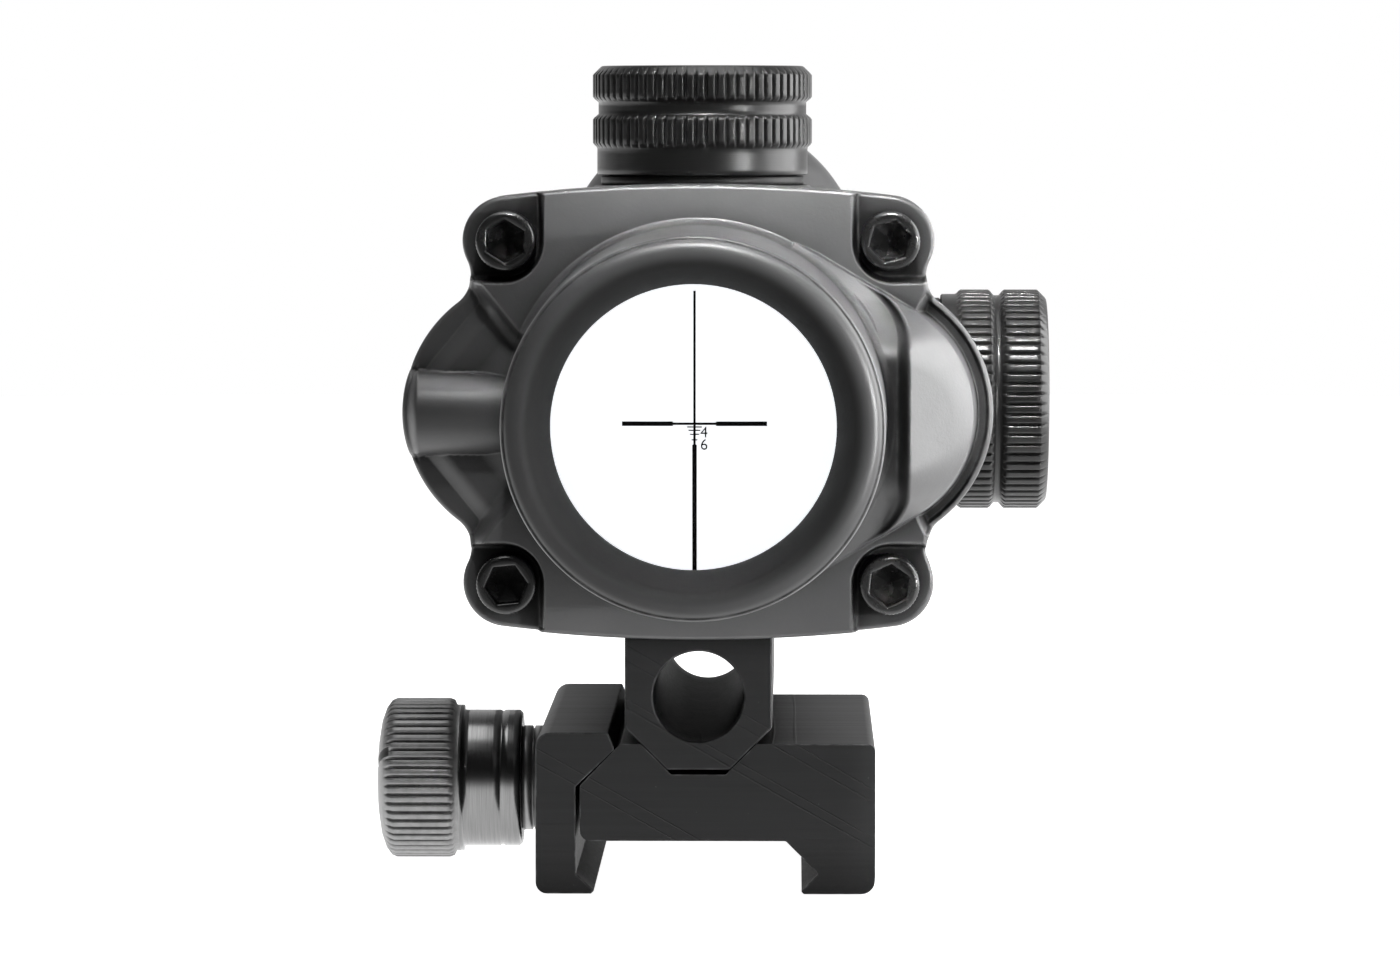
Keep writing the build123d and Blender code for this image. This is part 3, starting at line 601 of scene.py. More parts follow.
# In turned finishes the number after the axis is the edge tone, for rubbed wear and painted
# highlight
finishes = {
    "cast_black": cast_black(),
    "machined_black": machined_black(),
    "knurled_black": turned_finish("knurled_black", 0.004, 0.010, 0.0, 0.32, "Z", 0.42, 0.45),
    "turned_black": turned_finish("turned_black", 0.005, 0.010, 0.0, 0.4, "Y", 0.10, 0.3),
    "spacer_black": plain_metal("spacer_black", (0.008,) * 3, (0.016,) * 3, 0.0, 0.7),
    "knob_steel": knob_finish(),
    "bolt_steel": plain_metal("bolt_steel", (0.2,) * 3, (0.32,) * 3, 0.9, 0.35),
    "screw_black": turned_finish("screw_black", 0.05, 0.10, 0.9, 0.25, "Y", 0.5, 0.3),
    "spring_steel": plain_metal("spring_steel", (0.4,) * 3, (0.5,) * 3, 1.0, 0.25),
    "carriage_alloy": plain_metal("carriage_alloy", (0.06,) * 3, (0.1,) * 3, 0.4, 0.5),
    "dial_alloy": plain_metal("dial_alloy", (0.45,) * 3, (0.55,) * 3, 0.9, 0.35),
    "plunger_brass": plain_metal("plunger_brass", (0.5, 0.36, 0.14), (0.62, 0.47, 0.22), 1.0, 0.3),
    "seal_rubber": rubber(),
    "lens_glass": glass("lens_glass", (0.96, 0.98, 1.0), 0.35),
    "prism_glass": glass("prism_glass", (0.95, 0.98, 0.98), 0.0),
    "reticle_glass": glowing_field(),
    "reticle_black": reticle_ink(),
}

for entry in frame["record"]["subparts"]:
    node = frame["nodes"][entry["node"]]
    node.data.materials.clear()
    node.data.materials.append(finishes[entry["material_slot"]])

# The bright field is seen through the eyepiece but doesn't light the eyepiece's rim
frame["nodes"]["reticle_disc"].visible_diffuse = False
frame["nodes"]["reticle_disc"].visible_glossy = False

# ---- rear cover

COVER_FRONT = high_of("rear_cover")[1]
FLANGE_REAR = low_of("main_housing")[1]
SCREW_HEAD_R = 2.62
SCREW_X = high_of("rear_cover_screws")[0] - SCREW_HEAD_R
SCREW_Z = high_of("rear_cover_screws")[2] - SCREW_HEAD_R - AXIS_Z
FACE_Y = low_of("rear_cover_screws")[1]
COVER_TOP = high_of("rear_cover")[2] - AXIS_Z
COVER_SIDE = high_of("rear_cover")[0]
LOBE_R, BULGE_R, NECK_R = 3.9, 12.0, 3.0
BULGE_X = COVER_SIDE - BULGE_R
BARREL_R, BORE_R, OPENING_R, TUBE_R = 16.8, 13.0, 11.95, 17.5
WING_R, WING_ROOT_R = 10.6, 17.6
POCKET_X, POCKET_Z, POCKET_R, POCKET_DEEP = 13.5, 11.4, 3.4, 3.0
RIB_R = 3.7
SEAT_Y = -49.0
WALL_TOP_R, WALL_TOP_Y = 16.03, -51.9
WALL_DRAFT, WALL_COVE = 0.5, 0.55
# The eyepiece's mouth from the lens seat out: funnel, rolled lip, fine groove, rounded corner
MOUTH = [
    (OPENING_R, SEAT_Y), (OPENING_R, -50.1), (OPENING_R + 0.15, -50.4),
    (12.4, -51.1), (13.0, -51.9), (13.35, -52.35), (13.6, -52.6), (13.9, -52.8),
    (14.25, -52.93), (14.6, -53.0), (14.95, -52.97), (15.25, -52.88),
    (15.5, -52.72), (15.66, -52.52), (15.72, -52.42), (15.78, -52.40), (15.84, -52.44),
    (15.92, -52.38), (15.98, -52.25), (16.02, -52.08), (WALL_TOP_R, WALL_TOP_Y),
]
# Lines across the cover's face: a point, the way across the line, and that way's length
SCOOP_LINE = ((-15.65, 7.3), (-5.1, -4.0), 6.48)
STRIP_LINE = ((-18.4, 4.5), (-3.9, 3.2), 5.04)
LEDGE_LINE = ((20.4, 11.9), (3.0, -1.3), 3.27)
LEDGE_DEEP = 3.0


def outline_radius(angles):
    """Distance from the optical axis to the cover's outline at each angle."""
    lobe, bulge = Vector((SCREW_X, SCREW_Z)), Vector((BULGE_X, 0.0))
    drop = COVER_TOP - SCREW_Z
    top_r = (SCREW_X**2 + drop**2 - LOBE_R**2) / (2 * (drop - LOBE_R))
    crown = Vector((0.0, COVER_TOP - top_r))
    span = (lobe - bulge).length
    far, near = BULGE_R + NECK_R, LOBE_R + NECK_R
    along = (far**2 - near**2 + span**2) / (2 * span)
    aside = math.sqrt(far**2 - along**2)
    step = (lobe - bulge) / span
    neck = bulge + step * along + Vector((step.y, -step.x)) * aside

    def bearing(start, end):
        return math.degrees(math.atan2(end.y - start.y, end.x - start.x))

    top_end = bearing(crown, lobe)
    lobe_end = bearing(lobe, neck)
    neck_start, neck_end = bearing(neck, lobe), bearing(neck, bulge)
    if neck_end < 0:
        neck_end += 360
    bulge_end = bearing(bulge, neck)
    quarter = arc(bulge, BULGE_R, 0, bulge_end, 40)
    quarter += arc(neck, NECK_R, neck_end, neck_start, 30)
    quarter += arc(lobe, LOBE_R, lobe_end, top_end, 50)
    quarter += arc(crown, top_r, top_end, 90, 60)
    points = np.array(quarter)
    bearings = np.arctan2(points[:, 1], points[:, 0])
    distances = np.hypot(points[:, 0], points[:, 1])
    folded = np.arctan2(np.abs(np.sin(angles)), np.abs(np.cos(angles)))
    return np.interp(folded, bearings, distances)


def wing_depth_inside(x, z):
    """Distance inside the outline that joins the barrel to the wing's tip; negative outside."""
    lean = (WING_ROOT_R - WING_R) / BULGE_X
    side = math.sqrt(1 - lean**2)
    up = np.abs(z)
    along = side * x - lean * up
    by_barrel = np.hypot(x, z) - WING_ROOT_R
    by_tip = np.hypot(x - BULGE_X, z) - WING_R
    by_line = side * up + lean * x - WING_ROOT_R
    outside = np.where(along < 0, by_barrel, np.where(along > side * BULGE_X, by_tip, by_line))
    return -outside


def past_line(x, up, point, across, length):
    """Distance past a line, to the side that across points to."""
    return ((x - point[0]) * across[0] + (up - point[1]) * across[1]) / length


def cover_face(x, z):
    """Y of the cover's rear face outside the barrel."""
    up = np.abs(z)
    # The flat part leans away from the eye a little above and below the barrel
    y = FACE_Y + 1.2 * (np.clip(up - 10.0, 0, None) / 9.5) ** 2
    # Left scoop: a wall below each diagonal ridge, a slope, a flat strip and an outer slope
    scoop = past_line(x, up, *SCOOP_LINE)
    strip = past_line(x, up, *STRIP_LINE)
    floor = 1.3 * rise(scoop, -0.1, 0.7) + 0.9 * rise(strip, -2.6, 0.2) * rise(scoop, 0.0, 1.5)
    floor = floor + 1.2 * rise(strip, 2.1, 4.6) * rise(scoop, 0.0, 1.5)
    y = y + np.where(x < 0, floor, 0)
    # Right ledge, a step below the flat face
    ledge = past_line(x, up, *LEDGE_LINE)
    from_edge = BULGE_R - np.hypot(x - BULGE_X, z)
    channel = LEDGE_DEEP - 0.7 * rise(0.7 - from_edge, 0.0, 0.6)
    y = y + np.where(x > 0, channel * rise(ledge, -0.1, 0.7), 0)
    # Right wing: a face that climbs inwards from its edge, then drops into a valley
    inside = wing_depth_inside(x, z) - (WING_ROOT_R - BARREL_R) * (1 - rise(x, 4.0, 11.0))
    from_tip = BULGE_X + WING_R - x
    climb = -smooth_max(-1.9 * np.clip(inside, 0, None), -from_tip, 2.2)
    wing = FACE_Y + LEDGE_DEEP - 3.8 * rise(inside, -0.1, 0.5) - 1.02 * np.clip(climb, 0, None)
    crest = 18.1 - np.clip(up - 6.7, 0, None) ** 2 / 7.0
    across = crest - x
    valley = 2.4 * rise(across, -0.4, 0.9) + 1.5 * np.clip(across, 0, 2.5)
    room = np.clip(FACE_Y - wing, 0, None)
    wing = wing + 1.25 * valley * room / (valley + room + 0.01)
    y = np.where(x > 2, np.minimum(y, wing), y)
    # Corner pockets with rounded corners
    p, q = np.abs(x) - POCKET_X, up - POCKET_Z
    corner = POCKET_R - np.hypot(POCKET_R - p, POCKET_R - q)
    pocket = np.where((p < POCKET_R) & (q < POCKET_R), corner, np.minimum(p, q))
    floor_y = FACE_Y + POCKET_DEEP
    y = y + (floor_y - y) * rise(pocket, -0.08, 0.4)
    # Left rib: a half-round bar down to the edge of the cover
    height = np.sqrt(np.clip(RIB_R**2 - (z + 0.1) ** 2, 0, None))
    rib = floor_y + 0.1 - height
    y = np.where(x < -8, np.minimum(y, rib + 2.0 * rise(-x, 24.4, 25.9)), y)
    return y


def rear_cover():
    turns = 1080
    angles = even_turn(turns)
    outer = outline_radius(angles)
    loops = list(MOUTH)
    # The barrel's wall, down to a small cove above the face or the wing
    foot_r = BARREL_R + 0.3
    foot = cover_face(foot_r * np.cos(angles), foot_r * np.sin(angles))
    wall_steps, face_steps, edge_steps = 26, 120, 5
    for k in range(1, wall_steps + 1):
        share = k / wall_steps
        drop = math.sin(share * math.pi / 2) ** 0.8
        radius = WALL_TOP_R + WALL_DRAFT * share + WALL_COVE * rise(share, 0.8, 1.0)
        loops.append((radius, WALL_TOP_Y + (foot - WALL_TOP_Y) * drop))
    # The face, out to the rounded edge
    start = WALL_TOP_R + WALL_DRAFT + WALL_COVE
    edge = 0.45
    for k in range(1, face_steps + 1):
        radius = start + (outer - edge - start) * (k / face_steps)
        loops.append((radius, cover_face(radius * np.cos(angles), radius * np.sin(angles))))
    brink = loops[-1][1]
    for k in range(1, edge_steps + 1):
        turn = k / edge_steps * math.pi / 2
        radius = outer - edge + edge * math.sin(turn)
        loops.append((radius, brink + edge * (1 - math.cos(turn))))
    # The side, the chamfered front and the bore
    chamfer = 0.15
    for share in (0.33, 0.66):
        loops.append((outer, brink + edge + (COVER_FRONT - chamfer - brink - edge) * share))
    loops += [
        (outer, COVER_FRONT - chamfer), (outer - chamfer, COVER_FRONT), (TUBE_R, COVER_FRONT),
        (BORE_R, COVER_FRONT), (BORE_R, -36.0), (BORE_R, SEAT_Y),
    ]
    mesh_object(
        "rear_cover_casting", placed("Y", *skin(loops, angles), ON_AXIS),
        grid_faces(turns, len(loops)), "sight_body", "cast_black", ["rear_cover"],
    )


rear_cover()

# ---- turret caps and knob


def ridges(bands, count, grip, fade):
    """Flat-topped ridges in bands along the axis; they fade where the radius falls by fade."""
    depth, groove_share, run_out = 0.42, 0.62, (0.05, 0.5)

    def ripple(radius, along, angle):
        wave = np.abs(np.sin(angle * count / 2))
        groove = depth * np.clip(1 - wave / groove_share, 0, 1)
        inside = np.zeros_like(along)
        for start, end in bands:
            starts = rise(along, *(start + run for run in run_out))
            inside = inside + starts * rise(-along, *(-end + run for run in run_out))
        return -groove * inside * rise(radius, grip - fade, grip - fade / 2)
    return ripple


def turret_cap(turret, axis, seat, band, groove, band_2, top):
    """A cap with two knurled bands; the sizes are heights above the optical axis."""
    grip, slim, ridge_count = 10.0, 9.6, 66
    outer = [
        (8.95, seat + 1.8), (8.95, seat + 0.95), (9.0, seat + 0.9), (slim - 0.1, seat + 0.9),
        (slim, seat + 1.0), (slim, band - 0.15), (slim + 0.05, band), (grip - 0.12, band + 0.22),
        (grip, band + 0.4), (grip, groove - 0.4), (grip - 0.12, groove - 0.22),
        (slim + 0.02, groove), (slim - 0.12, groove + 0.12), (slim - 0.12, band_2 - 0.12),
        (slim + 0.02, band_2), (grip - 0.12, band_2 + 0.22), (grip, band_2 + 0.4),
        (grip, top - 0.85), (grip - 0.1, top - 0.72), (grip - 0.7, top - 0.12),
        (grip - 0.85, top - 0.02), (grip - 1.1, top),
    ]
    lid = [
        (8.0, top), (7.0, top), (6.7, top - 0.05), (6.5, top - 0.3), (6.2, top - 0.35),
        (3.0, top - 0.35), (0.0, top - 0.35), (0.0, top - 2.4), (8.05, top - 2.4),
        (8.05, seat + 1.8),
    ]
    profile = dense(outer, 0.45, closed=False) + lid
    turned(
        f"{turret}_cap_knurled", profile, axis, ON_AXIS, ridge_count * 10,
        f"{turret}_cap", "knurled_black", [f"{turret}_cap"],
        ridges([(band, groove), (band_2, top - 0.45)], ridge_count, grip, 0.22),
    )


def turret_base(turret, axis, seat):
    """The collar and threaded neck that a cap screws on to, hollow for the dial."""
    bore, plug, flange, neck, well = 3.05, 7.0, 9.25, 8.0, 6.6
    pitch, depth, rings = 0.5, 0.22, 8
    thread = []
    for k in range(rings):
        start = seat + 1.2 + k * pitch
        thread += [(neck - depth, start), (neck, start + 0.2), (neck, start + 0.3)]
    profile = [
        (bore, seat - 4.4), (plug, seat - 4.4), (plug, seat), (flange - 0.1, seat),
        (flange, seat + 0.1), (flange, seat + 0.7), (flange - 0.1, seat + 0.8),
        (neck - depth, seat + 0.8), *thread, (neck - depth, seat + 5.2),
        (neck - depth, seat + 5.3), (neck - depth - 0.1, seat + 5.4), (well, seat + 5.4),
        (well, seat + 2.9), (bore, seat + 2.9),
    ]
    base = turned(
        f"{turret}_turret_base_threaded", profile, axis, ON_AXIS, 180,
        "sight_body", "turned_black", [f"{turret}_turret_base"],
    )
    ball = middle(f"{turret}_detent_ball")
    aside = (ball[0], ball[1]) if axis == "Z" else (ball[1], ball[2])
    start = seat + (AXIS_Z if axis == "Z" else 0)
    cut_holes(base, [(axis, 0.8, start + 0.5, start + 3.5, *aside)])
    base.data.shade_smooth()


# Each turret's axis, its seat on the housing, and how far its boss reaches into the housing
TURRETS = {"elevation": ("Z", 19.6, 15.0), "windage": ("X", 20.9, 17.0)}
CAP_HEIGHTS = {
    "elevation": (23.0, 25.9, 27.2, high_of("elevation_cap")[2] - AXIS_Z),
    "windage": (23.2, 26.5, 27.2, high_of("windage_cap")[0]),
}
for turret, (axis, seat, _) in TURRETS.items():
    turret_base(turret, axis, seat)
for turret, (axis, seat, _) in TURRETS.items():
    turret_cap(turret, axis, seat, *CAP_HEIGHTS[turret])


def clamp_knob():
    low, high = low_of("clamp_knob"), high_of("clamp_knob")
    middle_z = middle("clamp_knob")[2]
    grip = (high[2] - low[2]) / 2
    end, face = low[0], high[0]
    shoulder = end + 7.2
    neck, bolt_hole, hole_end, ridge_count = grip - 1.05, 2.0, -27.0, 54
    profile = [
        (bolt_hole, face), (neck - 0.25, face), (neck, face - 0.25), (neck, face - 1.6),
        (neck - 0.1, face - 1.7), (neck - 0.1, face - 1.9), (neck, face - 2.0),
        (neck, shoulder + 0.75), (grip - 0.6, shoulder + 0.7),
        (grip - 0.6, shoulder), (grip - 0.15, shoulder - 0.2), (grip, shoulder - 0.6),
        (grip, shoulder - 2.5), (grip, end + 2.6), (grip, end + 1.7),
        (grip - 0.2, end + 1.25), (grip - 0.8, end + 0.8), (grip - 1.9, end + 0.4),
        (grip - 3.6, end + 0.12), (grip - 5.5, end + 0.02), (0.0, end),
        (0.0, hole_end), (bolt_hole, hole_end),
    ]
    knob = turned(
        "clamp_knob_knurled", dense(profile, 0.6), "X", (0, 0, middle_z), ridge_count * 8,
        "clamp_knob", "knob_steel", ["clamp_knob"],
        ridges([(end + 0.6, shoulder)], ridge_count, grip, 0.55),
    )
    slot = bpy.data.meshes.new("coin_slot_cutter")
    shape = bmesh.new()
    bmesh.ops.create_cube(shape, size=1.0)
    turn = math.radians(26)
    slot_long, slot_wide, slot_high = 16, 0.9, 2.3
    for v in shape.verts:
        along, across = v.co.y * slot_long, v.co.z * slot_wide
        v.co.x = (end - 1 + (v.co.x + 0.5) * slot_high) * MM
        v.co.y = (along * math.cos(turn) + across * math.sin(turn)) * MM
        v.co.z = (across * math.cos(turn) - along * math.sin(turn) + middle_z) * MM
    shape.to_mesh(slot)
    shape.free()
    subtract(knob, slot)


def clamp_washer():
    """Two stacked washers between the knob and the jaw."""
    left, right = low_of("clamp_washer")[0], high_of("clamp_washer")[0]
    between = (left + right) / 2
    bore, rim = 2.05, high_of("clamp_washer")[1]
    profile = [
        (bore, left), (rim - 0.15, left), (rim, left + 0.15), (rim, between - 0.12),
        (rim - 0.25, between - 0.03), (rim - 0.25, between + 0.03), (rim, between + 0.12),
        (rim, right - 0.15), (rim - 0.15, right), (bore, right),
    ]
    turned(
        "clamp_washer_pair", profile, "X", (0, 0, middle("clamp_washer")[2]), 128,
        "clamp_knob", "bolt_steel", ["clamp_washer"],
    )


clamp_knob()
clamp_washer()

# ---- housing

# Half width, half height and corner radius of the box-shaped rear part, outside and inside
CHAMBER = (20.5, 18.4, 13.5)
CAVITY = (18.2, 16.1, 11.5)
BELL_R, RIDGE_R, RIDGE_RISE = 21.5, 15.5, 10.0
CHAMBER_END = 20.0
FLANGE_FRONT = FLANGE_REAR + 6.0
FLANGE_EDGE, FRONT_EDGE = 0.5, 0.9
FRONT_Y = high_of("main_housing")[1]
RISER_TOP = high_of("riser_block")[2] - AXIS_Z
RISER_FRONT = high_of("riser_block")[1]


def rounded_box(half_x, half_z, radius):
    corners = [(half_x, half_z), (-half_x, half_z), (-half_x, -half_z), (half_x, -half_z)]
    return dense(rounded_outline(corners, [radius] * 4, steps=40), 0.5)


def housing_radius(angles, y):
    """Outer skin of the housing as a distance from the optical axis."""
    cos, sin = np.cos(angles), np.sin(angles)
    chamber = section_radius(rounded_box(*CHAMBER), angles)
    tube = TUBE_R + (BELL_R - TUBE_R) * rise(y, 59, 69)
    shell = chamber + (tube - chamber) * rise(y, 20, 34)
    # A rounded ridge along the top of the bell
    ridge_r = RIDGE_R - 8.5 * (1 - rise(y, 57, 71)) - 1.6 * rise(y, 92.5, 95.6)
    reach = np.clip(ridge_r**2 - (RIDGE_RISE * cos) ** 2, 0, None)
    ridge = np.where(sin > 0, RIDGE_RISE * sin + np.sqrt(reach), 0) * rise(y, 56, 60)
    shell = smooth_max(shell, ridge, 1.2)
    # A flat pad for the riser
    down = np.clip(-sin, 1e-3, None)
    pad = np.minimum(-RISER_TOP / down, 7.5 / np.clip(np.abs(cos), 1e-3, None))
    pad = np.where(sin < 0, pad, 0) * (1 - rise(y, RISER_FRONT - 0.6, RISER_FRONT))
    shell = np.where(pad > shell, pad, shell)
    if y > FLANGE_FRONT:
        return shell
    # The flange, with its front edge rounded
    inward = np.clip(FLANGE_EDGE**2 - (y - FLANGE_FRONT + FLANGE_EDGE) ** 2, 0, None)
    lip = 0.0 if y < FLANGE_FRONT - FLANGE_EDGE else FLANGE_EDGE - np.sqrt(inward)
    return np.maximum(outline_radius(angles) - lip, shell)


def main_housing():
    turns = 540
    angles = even_turn(turns)
    stations = [FLANGE_REAR + 0.15, FLANGE_REAR + 0.4]
    stations += list(np.linspace(FLANGE_REAR + 1.2, FLANGE_FRONT - 0.6, 5))
    rounding = np.sin(np.linspace(0, 1, 6) * math.pi / 2)
    stations += list(FLANGE_FRONT - FLANGE_EDGE + FLANGE_EDGE * rounding)
    stations += [FLANGE_FRONT + 0.001]
    for start, end, count in (
        (FLANGE_FRONT + 0.4, 20, 30), (20.5, RISER_FRONT - 0.7, 34),
        (RISER_FRONT - 0.55, RISER_FRONT + 0.05, 5), (RISER_FRONT + 1.0, 56, 12),
        (56.5, 72, 36), (73, 92, 12), (92.4, FRONT_Y - FRONT_EDGE, 12),
    ):
        stations += list(np.linspace(start, end, count))
    loops = [(housing_radius(angles, FLANGE_REAR + 0.15) - 0.15, FLANGE_REAR)]
    loops += [(housing_radius(angles, y), y) for y in stations]
    last = loops[-1][0]
    for k in range(1, 6):
        turn = k / 5 * math.pi / 2
        forward = FRONT_Y - FRONT_EDGE + FRONT_EDGE * math.sin(turn)
        loops.append((last - FRONT_EDGE * (1 - math.cos(turn)), forward))
    # The filter thread as rings, then the seats, the light path and the prism chamber
    thread_r, thread_top = 18.0, FRONT_Y - 0.35
    loops += [(thread_r + 0.35, FRONT_Y), (thread_r, thread_top)]
    for k in range(1, 5):
        crest = thread_top - 0.6 * k
        loops += [(18.22, crest + 0.3), (thread_r, crest)]
    loops += [
        (thread_r, 94.0), (17.5, 94.0), (17.5, 91.8), (17.0, 91.8), (17.0, 84.0),
        (16.2, 84.0), (15.2, 70.0), (15.2, 24.0), (11.0, 24.0), (11.0, CHAMBER_END),
    ]
    cavity = section_radius(rounded_box(*CAVITY), angles)
    loops += [(cavity, CHAMBER_END), (cavity, FLANGE_REAR)]
    points = [placed("Y", *skin(loops, angles), ON_AXIS)]
    faces = grid_faces(turns, len(loops))
    around = even_turn(240)
    boss_r, hole_r, foot_r = 10.0, 7.05, 1.6
    for axis, seat, sunk in TURRETS.values():
        boss = arc((boss_r - 0.5, seat - 0.5), 0.5, 90, 0, 6) + [(boss_r, seat - 1.0)]
        boss += arc((boss_r + foot_r, sunk + foot_r), foot_r, 180, 270, 8)
        boss += [(boss_r + foot_r, sunk - 1.0), (hole_r, sunk - 1.0), (hole_r, seat)]
        faces += grid_faces(len(around), len(boss), sum(len(part) for part in points))
        points.append(placed(axis, *skin(boss, around), ON_AXIS))
    mesh_object(
        "main_housing_casting", np.concatenate(points), faces,
        "sight_body", "cast_black", ["main_housing"],
    )


main_housing()

# ---- riser and clamp

BOLT_HOLE_R, BOLT_Z = 2.06, 3.1


def riser_block():
    low, high = low_of("riser_block"), high_of("riser_block")
    half, foot = high[0], 2.8
    slope = low[2] + half - foot
    outline = [(-foot, low[2]), (foot, low[2]), (half, slope), (half, high[2]),
               (-half, high[2]), (-half, slope)]
    extruded(
        "riser_block_machined", outline, low[1], high[1], "sight_body", ["riser_block"],
        [("Y", 4.0, -30, 45, 0, 12.8)], 0.2,
    )


def clamp_base():
    low, high = low_of("clamp_base"), high_of("clamp_base")
    left, right, bottom, top = low[0] + 0.12, high[0], low[2], high[2]
    outline = rounded_outline(
        [(left, 0), (7.7, 0), (10.6, -2.9), (9.05, -4.45), (9.3, bottom),
         (right, bottom), (right, top), (5.1, top), (2.4, 5.9), (-2.4, 5.9), (-5.1, top),
         (-6.9, top), (left, top - 3.7)],
        [0.9, 0.3, 0.15, 0.1, 0.1, 1.2, 0.7, 0.25, 0.2, 0.2, 0.25, 0.3, 0.3],
    )
    holes = [("X", 3.6, 11.0, 17.0, 0, BOLT_Z), ("X", BOLT_HOLE_R, -12, 12, 0, BOLT_Z)]
    holes += [("Z", 2.9, -1, 2.4, 0, y) for y in (-14.0, 14.0)]
    extruded(
        "clamp_base_machined", outline, low[1], high[1], "sight_body", ["clamp_base"], holes, 0.22
    )


def clamp_jaw():
    low, high = low_of("clamp_jaw"), high_of("clamp_jaw")
    outer, inner, bottom, top = low[0], -10.85, low[2], high[2]
    outline = rounded_outline(
        [(inner, 4.8), (inner, -2.9), (-9.2, bottom + 0.3), (-9.5, bottom), (outer, bottom),
         (outer, top), (-8.0, top), (-7.4, 8.1)],
        [0.3, 0.15, 0.1, 0.1, 1.0, 1.3, 0.2, 0.2],
    )
    extruded(
        "clamp_jaw_machined", outline, low[1], high[1], "clamp_jaw", ["clamp_jaw"],
        [("X", BOLT_HOLE_R, -16, -9, 0, BOLT_Z)], 0.22,
    )


riser_block()
clamp_base()
clamp_jaw()

# ---- screws

SCREW_SEGMENTS = 144


def cap_screw(x, z, turn, rear):
    """Points of a hex-socket cap screw along Y with its head's face at rear, and its loops."""
    length, head_r, head_high, flat, shank_r, knurl_count = 9.8, SCREW_HEAD_R, 2.98, 1.62, 1.5, 48
    angles = even_turn(SCREW_SEGMENTS)
    sixth = (angles - turn) % (TAU / 6) - TAU / 12
    hexagon = flat / np.cos(sixth)
    knurled = head_r - 0.05 * (np.sin(angles * knurl_count) ** 2)
    loops = [
        (0.01, rear + 1.75), (hexagon * 0.985, rear + 1.6), (hexagon, rear + 1.5),
        (hexagon, rear + 0.12), (hexagon + 0.1, rear + 0.02), (hexagon * 0.4 + 1.25, rear),
        (head_r - 0.42, rear), (head_r - 0.3, rear + 0.02), (head_r - 0.1, rear + 0.12),
        (knurled, rear + 0.4), (knurled, rear + head_high - 0.1), (head_r - 0.1, rear + head_high),
        (shank_r, rear + head_high), (shank_r, rear + length), (0.01, rear + length),
    ]
    return placed("Y", *skin(loops, angles), (x, 0, AXIS_Z + z)), len(loops)


def rear_cover_screws():
    points, faces = [], []
    for sx, sz, turn in ((1, 1, 0.25), (-1, 1, 0.5), (-1, -1, 0.1), (1, -1, 0.42)):
        first = sum(len(part) for part in points)
        part, loops = cap_screw(sx * SCREW_X, sz * SCREW_Z, turn, FACE_Y + 0.02)
        points.append(part)
        faces += grid_faces(SCREW_SEGMENTS, loops, first)
    mesh_object(
        "rear_cover_cap_screws", np.concatenate(points), faces,
        "sight_body", "screw_black", ["rear_cover_screws"],
    )


rear_cover_screws()

# ---- lenses

CEMENT_FILM = 0.03


def lens(node, rear_bulge, front_bulge):
    """A finely meshed lens inside its node's box; a negative bulge is a hollow face."""
    low, high = low_of(node), high_of(node)
    radius = high[0]
    rear = low[1] + max(rear_bulge, 0)
    # A hollow face stands a film of cement away from the lens in front of it
    front = high[1] - (front_bulge if front_bulge > 0 else CEMENT_FILM)

    def face(edge, bulge, side):
        steps = 28
        sphere = (radius**2 + bulge**2) / (2 * abs(bulge))
        lift = sphere - abs(bulge)
        points = []
        for k in range(steps + 1):
            out = radius * k / steps
            height = math.copysign(math.sqrt(sphere**2 - out**2) - lift, bulge)
            points.append((out, edge + side * height))
        return points

    profile = face(rear, rear_bulge, -1) + face(front, front_bulge, 1)[::-1]
    turned(f"{node}_polished", profile, "Y", ON_AXIS, 128, "sight_body", "lens_glass", [node])


lens("eye_lens", 0.8, 2.0)
lens("field_lens", 1.2, 1.2)
lens("objective_crown_lens", 2.0, 1.8)
lens("objective_flint_lens", 0.4, -2.0)

# ---- aiming marks


def aiming_marks():
    """Fine lines, bold posts and drop ticks just off the bright disc."""
    y0, y1 = low_of("reticle_marks")[1], high_of("reticle_marks")[1]
    fine, bold, tick = 0.1, 0.19, 0.05
    post_start, post_end, top, bottom, fork = 1.8, 6.05, 11.05, -12.3, -1.75
    bars = [
        ((-fine, fine), (0.0, top)), ((-post_start, post_start), (-fine, fine)),
        ((-fine, fine), (fork, 0.0)), ((-post_end, -post_start), (-bold, bold)),
        ((post_start, post_end), (-bold, bold)), ((-bold, bold), (bottom, fork)),
    ]
    bars += [
        ((-half, half), (-drop - tick, -drop + tick))
        for drop, half in ((0.27, 0.62), (0.55, 0.5), (0.88, 0.38), (1.35, 0.26))
    ]
    box = ((0, 1, 3, 2), (4, 6, 7, 5), (0, 4, 5, 1), (2, 3, 7, 6), (0, 2, 6, 4), (1, 5, 7, 3))
    points, faces = [], []
    for across, heights in bars:
        faces += [tuple(len(points) + i for i in face) for face in box]
        points += [(x, y, AXIS_Z + z) for y in (y0, y1) for x in across for z in heights]
    mesh_object(
        "aiming_marks", points, faces, "sight_body", "reticle_black", ["reticle_marks"], False
    )


def aiming_numeral(text, drop):
    """A numeral on the right of the fine line, drop below the centre."""
    curve = bpy.data.curves.new(f"aiming_numeral_{text}", "FONT")
    curve.body = text
    curve.size = 1.3 * MM
    curve.extrude = 0.02 * MM
    curve.align_x, curve.align_y = "CENTER", "CENTER"
    curve.materials.append(finishes["reticle_black"])
    numeral = bpy.data.objects.new(f"aiming_numeral_{text}", curve)
    bpy.context.scene.collection.objects.link(numeral)
    rear = low_of("reticle_marks")[1]
    numeral.location = (0.8 * MM, (rear + 0.02) * MM, (AXIS_Z - drop) * MM)
    numeral.rotation_euler = (math.pi / 2, 0, 0)
    bpy.context.view_layer.update()
    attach(numeral, "sight_body")


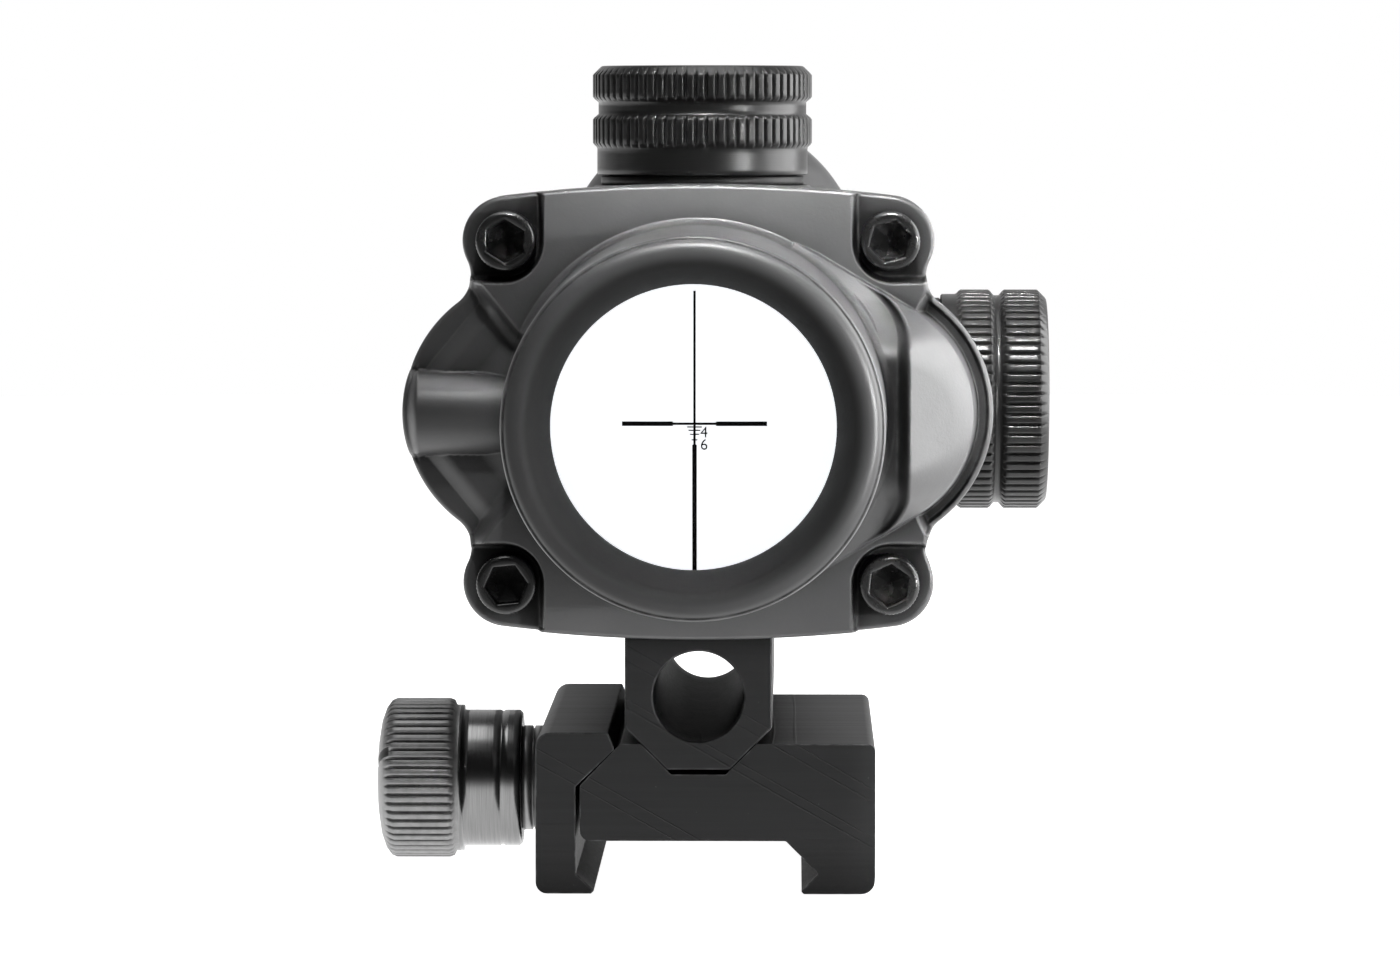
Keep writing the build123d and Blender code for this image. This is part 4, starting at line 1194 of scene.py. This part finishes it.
aiming_marks()
aiming_numeral("4", 0.75)
aiming_numeral("6", 1.78)

# ---- light, floor and camera

FOCAL, SENSOR = 153.3, 36.0
EYE = Vector((8.35, -545.5, AXIS_Z + 26.6))
PITCH, YAW = math.radians(-3.67), math.radians(0.90)


def camera():
    """A long lens, a little above and to the right of the optical axis."""
    data = bpy.data.cameras.new("camera")
    data.lens, data.sensor_width = FOCAL, SENSOR
    data.clip_start, data.clip_end = 0.05, 20
    holder = bpy.data.objects.new("camera", data)
    bpy.context.scene.collection.objects.link(holder)
    holder.location = EYE * MM
    ahead = Vector((
        -math.sin(YAW) * math.cos(PITCH), math.cos(YAW) * math.cos(PITCH), math.sin(PITCH)
    ))
    holder.rotation_mode = "QUATERNION"
    holder.rotation_quaternion = ahead.to_track_quat("-Z", "Y")
    bpy.context.scene.camera = holder


def floor():
    """A pale table top that is evenly lit from below, as for a cut-out on white."""
    data = bpy.data.meshes.new("floor")
    radius, sides, height = 0.9, 96, cad_low.z - 0.1 * MM
    turns = [i * TAU / sides for i in range(sides)]
    ring = [(radius * math.cos(turn), radius * math.sin(turn), height) for turn in turns]
    data.from_pydata(ring, [], [tuple(range(sides))])
    ground = bpy.data.objects.new("floor", data)
    bpy.context.scene.collection.objects.link(ground)
    n = Nodes("floor_white")
    seen = n.add("ShaderNodeLightPath").outputs["Is Camera Ray"]
    lit = n.span(n.coordinate("Y"), 0.2, 1.5, -0.09, -0.02, "SMOOTHSTEP")
    glow = n.calc("MULTIPLY", lit, n.span(seen, 1.0, 0.0))
    n.set(
        Base_Color=n.mix(seen, (0.18,) * 3, (0.85,) * 3),
        Roughness=0.9, Specular_IOR_Level=0.1,
        Emission_Color=(1, 1, 1, 1), Emission_Strength=n.calc("ADD", glow, n.span(seen, 0.0, 1.0)),
    )
    data.materials.append(n.material)


def softbox(name, place, aim, size, power, spread):
    """A rectangular lamp; sizes in metres, power in watts and spread in degrees."""
    data = bpy.data.lights.new(name, "AREA")
    data.spread = math.radians(spread)
    data.shape = "RECTANGLE"
    data.size, data.size_y = size
    data.energy = power
    lamp = bpy.data.objects.new(name, data)
    bpy.context.scene.collection.objects.link(lamp)
    lamp.location = place
    lamp.visible_camera = False
    lamp.rotation_mode = "QUATERNION"
    lamp.rotation_quaternion = (Vector(aim) - Vector(place)).to_track_quat("-Z", "Y")


def world():
    """Plain white to look at; as light, a white backdrop behind and a dim room in front."""
    studio = bpy.data.worlds.new("studio")
    bpy.context.scene.world = studio
    studio.use_nodes = True
    tree = studio.node_tree
    sky = tree.nodes["Background"]
    sky.inputs["Color"].default_value = (1.0, 1.0, 1.0, 1)
    sky.inputs["Strength"].default_value = 1.0
    room = tree.nodes.new("ShaderNodeBackground")
    direction = tree.nodes.new("ShaderNodeTexCoord")
    split = tree.nodes.new("ShaderNodeSeparateXYZ")
    shade = tree.nodes.new("ShaderNodeMapRange")
    shade.interpolation_type = "SMOOTHSTEP"
    limits = {"From Min": 0.2, "From Max": 0.95, "To Min": 0.02, "To Max": 0.9}
    for key, value in limits.items():
        shade.inputs[key].default_value = value
    ray = tree.nodes.new("ShaderNodeLightPath")
    choose = tree.nodes.new("ShaderNodeMixShader")
    tree.links.new(direction.outputs["Generated"], split.inputs[0])
    tree.links.new(split.outputs["Y"], shade.inputs["Value"])
    tree.links.new(shade.outputs["Result"], room.inputs["Strength"])
    tree.links.new(ray.outputs["Is Camera Ray"], choose.inputs[0])
    tree.links.new(room.outputs[0], choose.inputs[1])
    tree.links.new(sky.outputs[0], choose.inputs[2])
    tree.links.new(choose.outputs[0], tree.nodes["World Output"].inputs["Surface"])


camera()
floor()
world()
softbox("right_wall", (0.28, 0.04, 0.11), (0, 0, 0.03), (0.28, 0.30), 1.7, 180)
softbox("ceiling", (0.02, -0.05, 0.42), (0, 0, 0.04), (0.4, 0.35), 1.25, 180)
softbox("front_beam", (0.03, -0.24, 0.36), (0.013, -0.03, 0.055), (0.05, 0.05), 0.016, 7)
softbox("side_beam", (0.30, -0.30, 0.06), (0.024, -0.045, 0.038), (0.05, 0.05), 0.009, 7)
bpy.context.scene.view_settings.view_transform = "Standard"
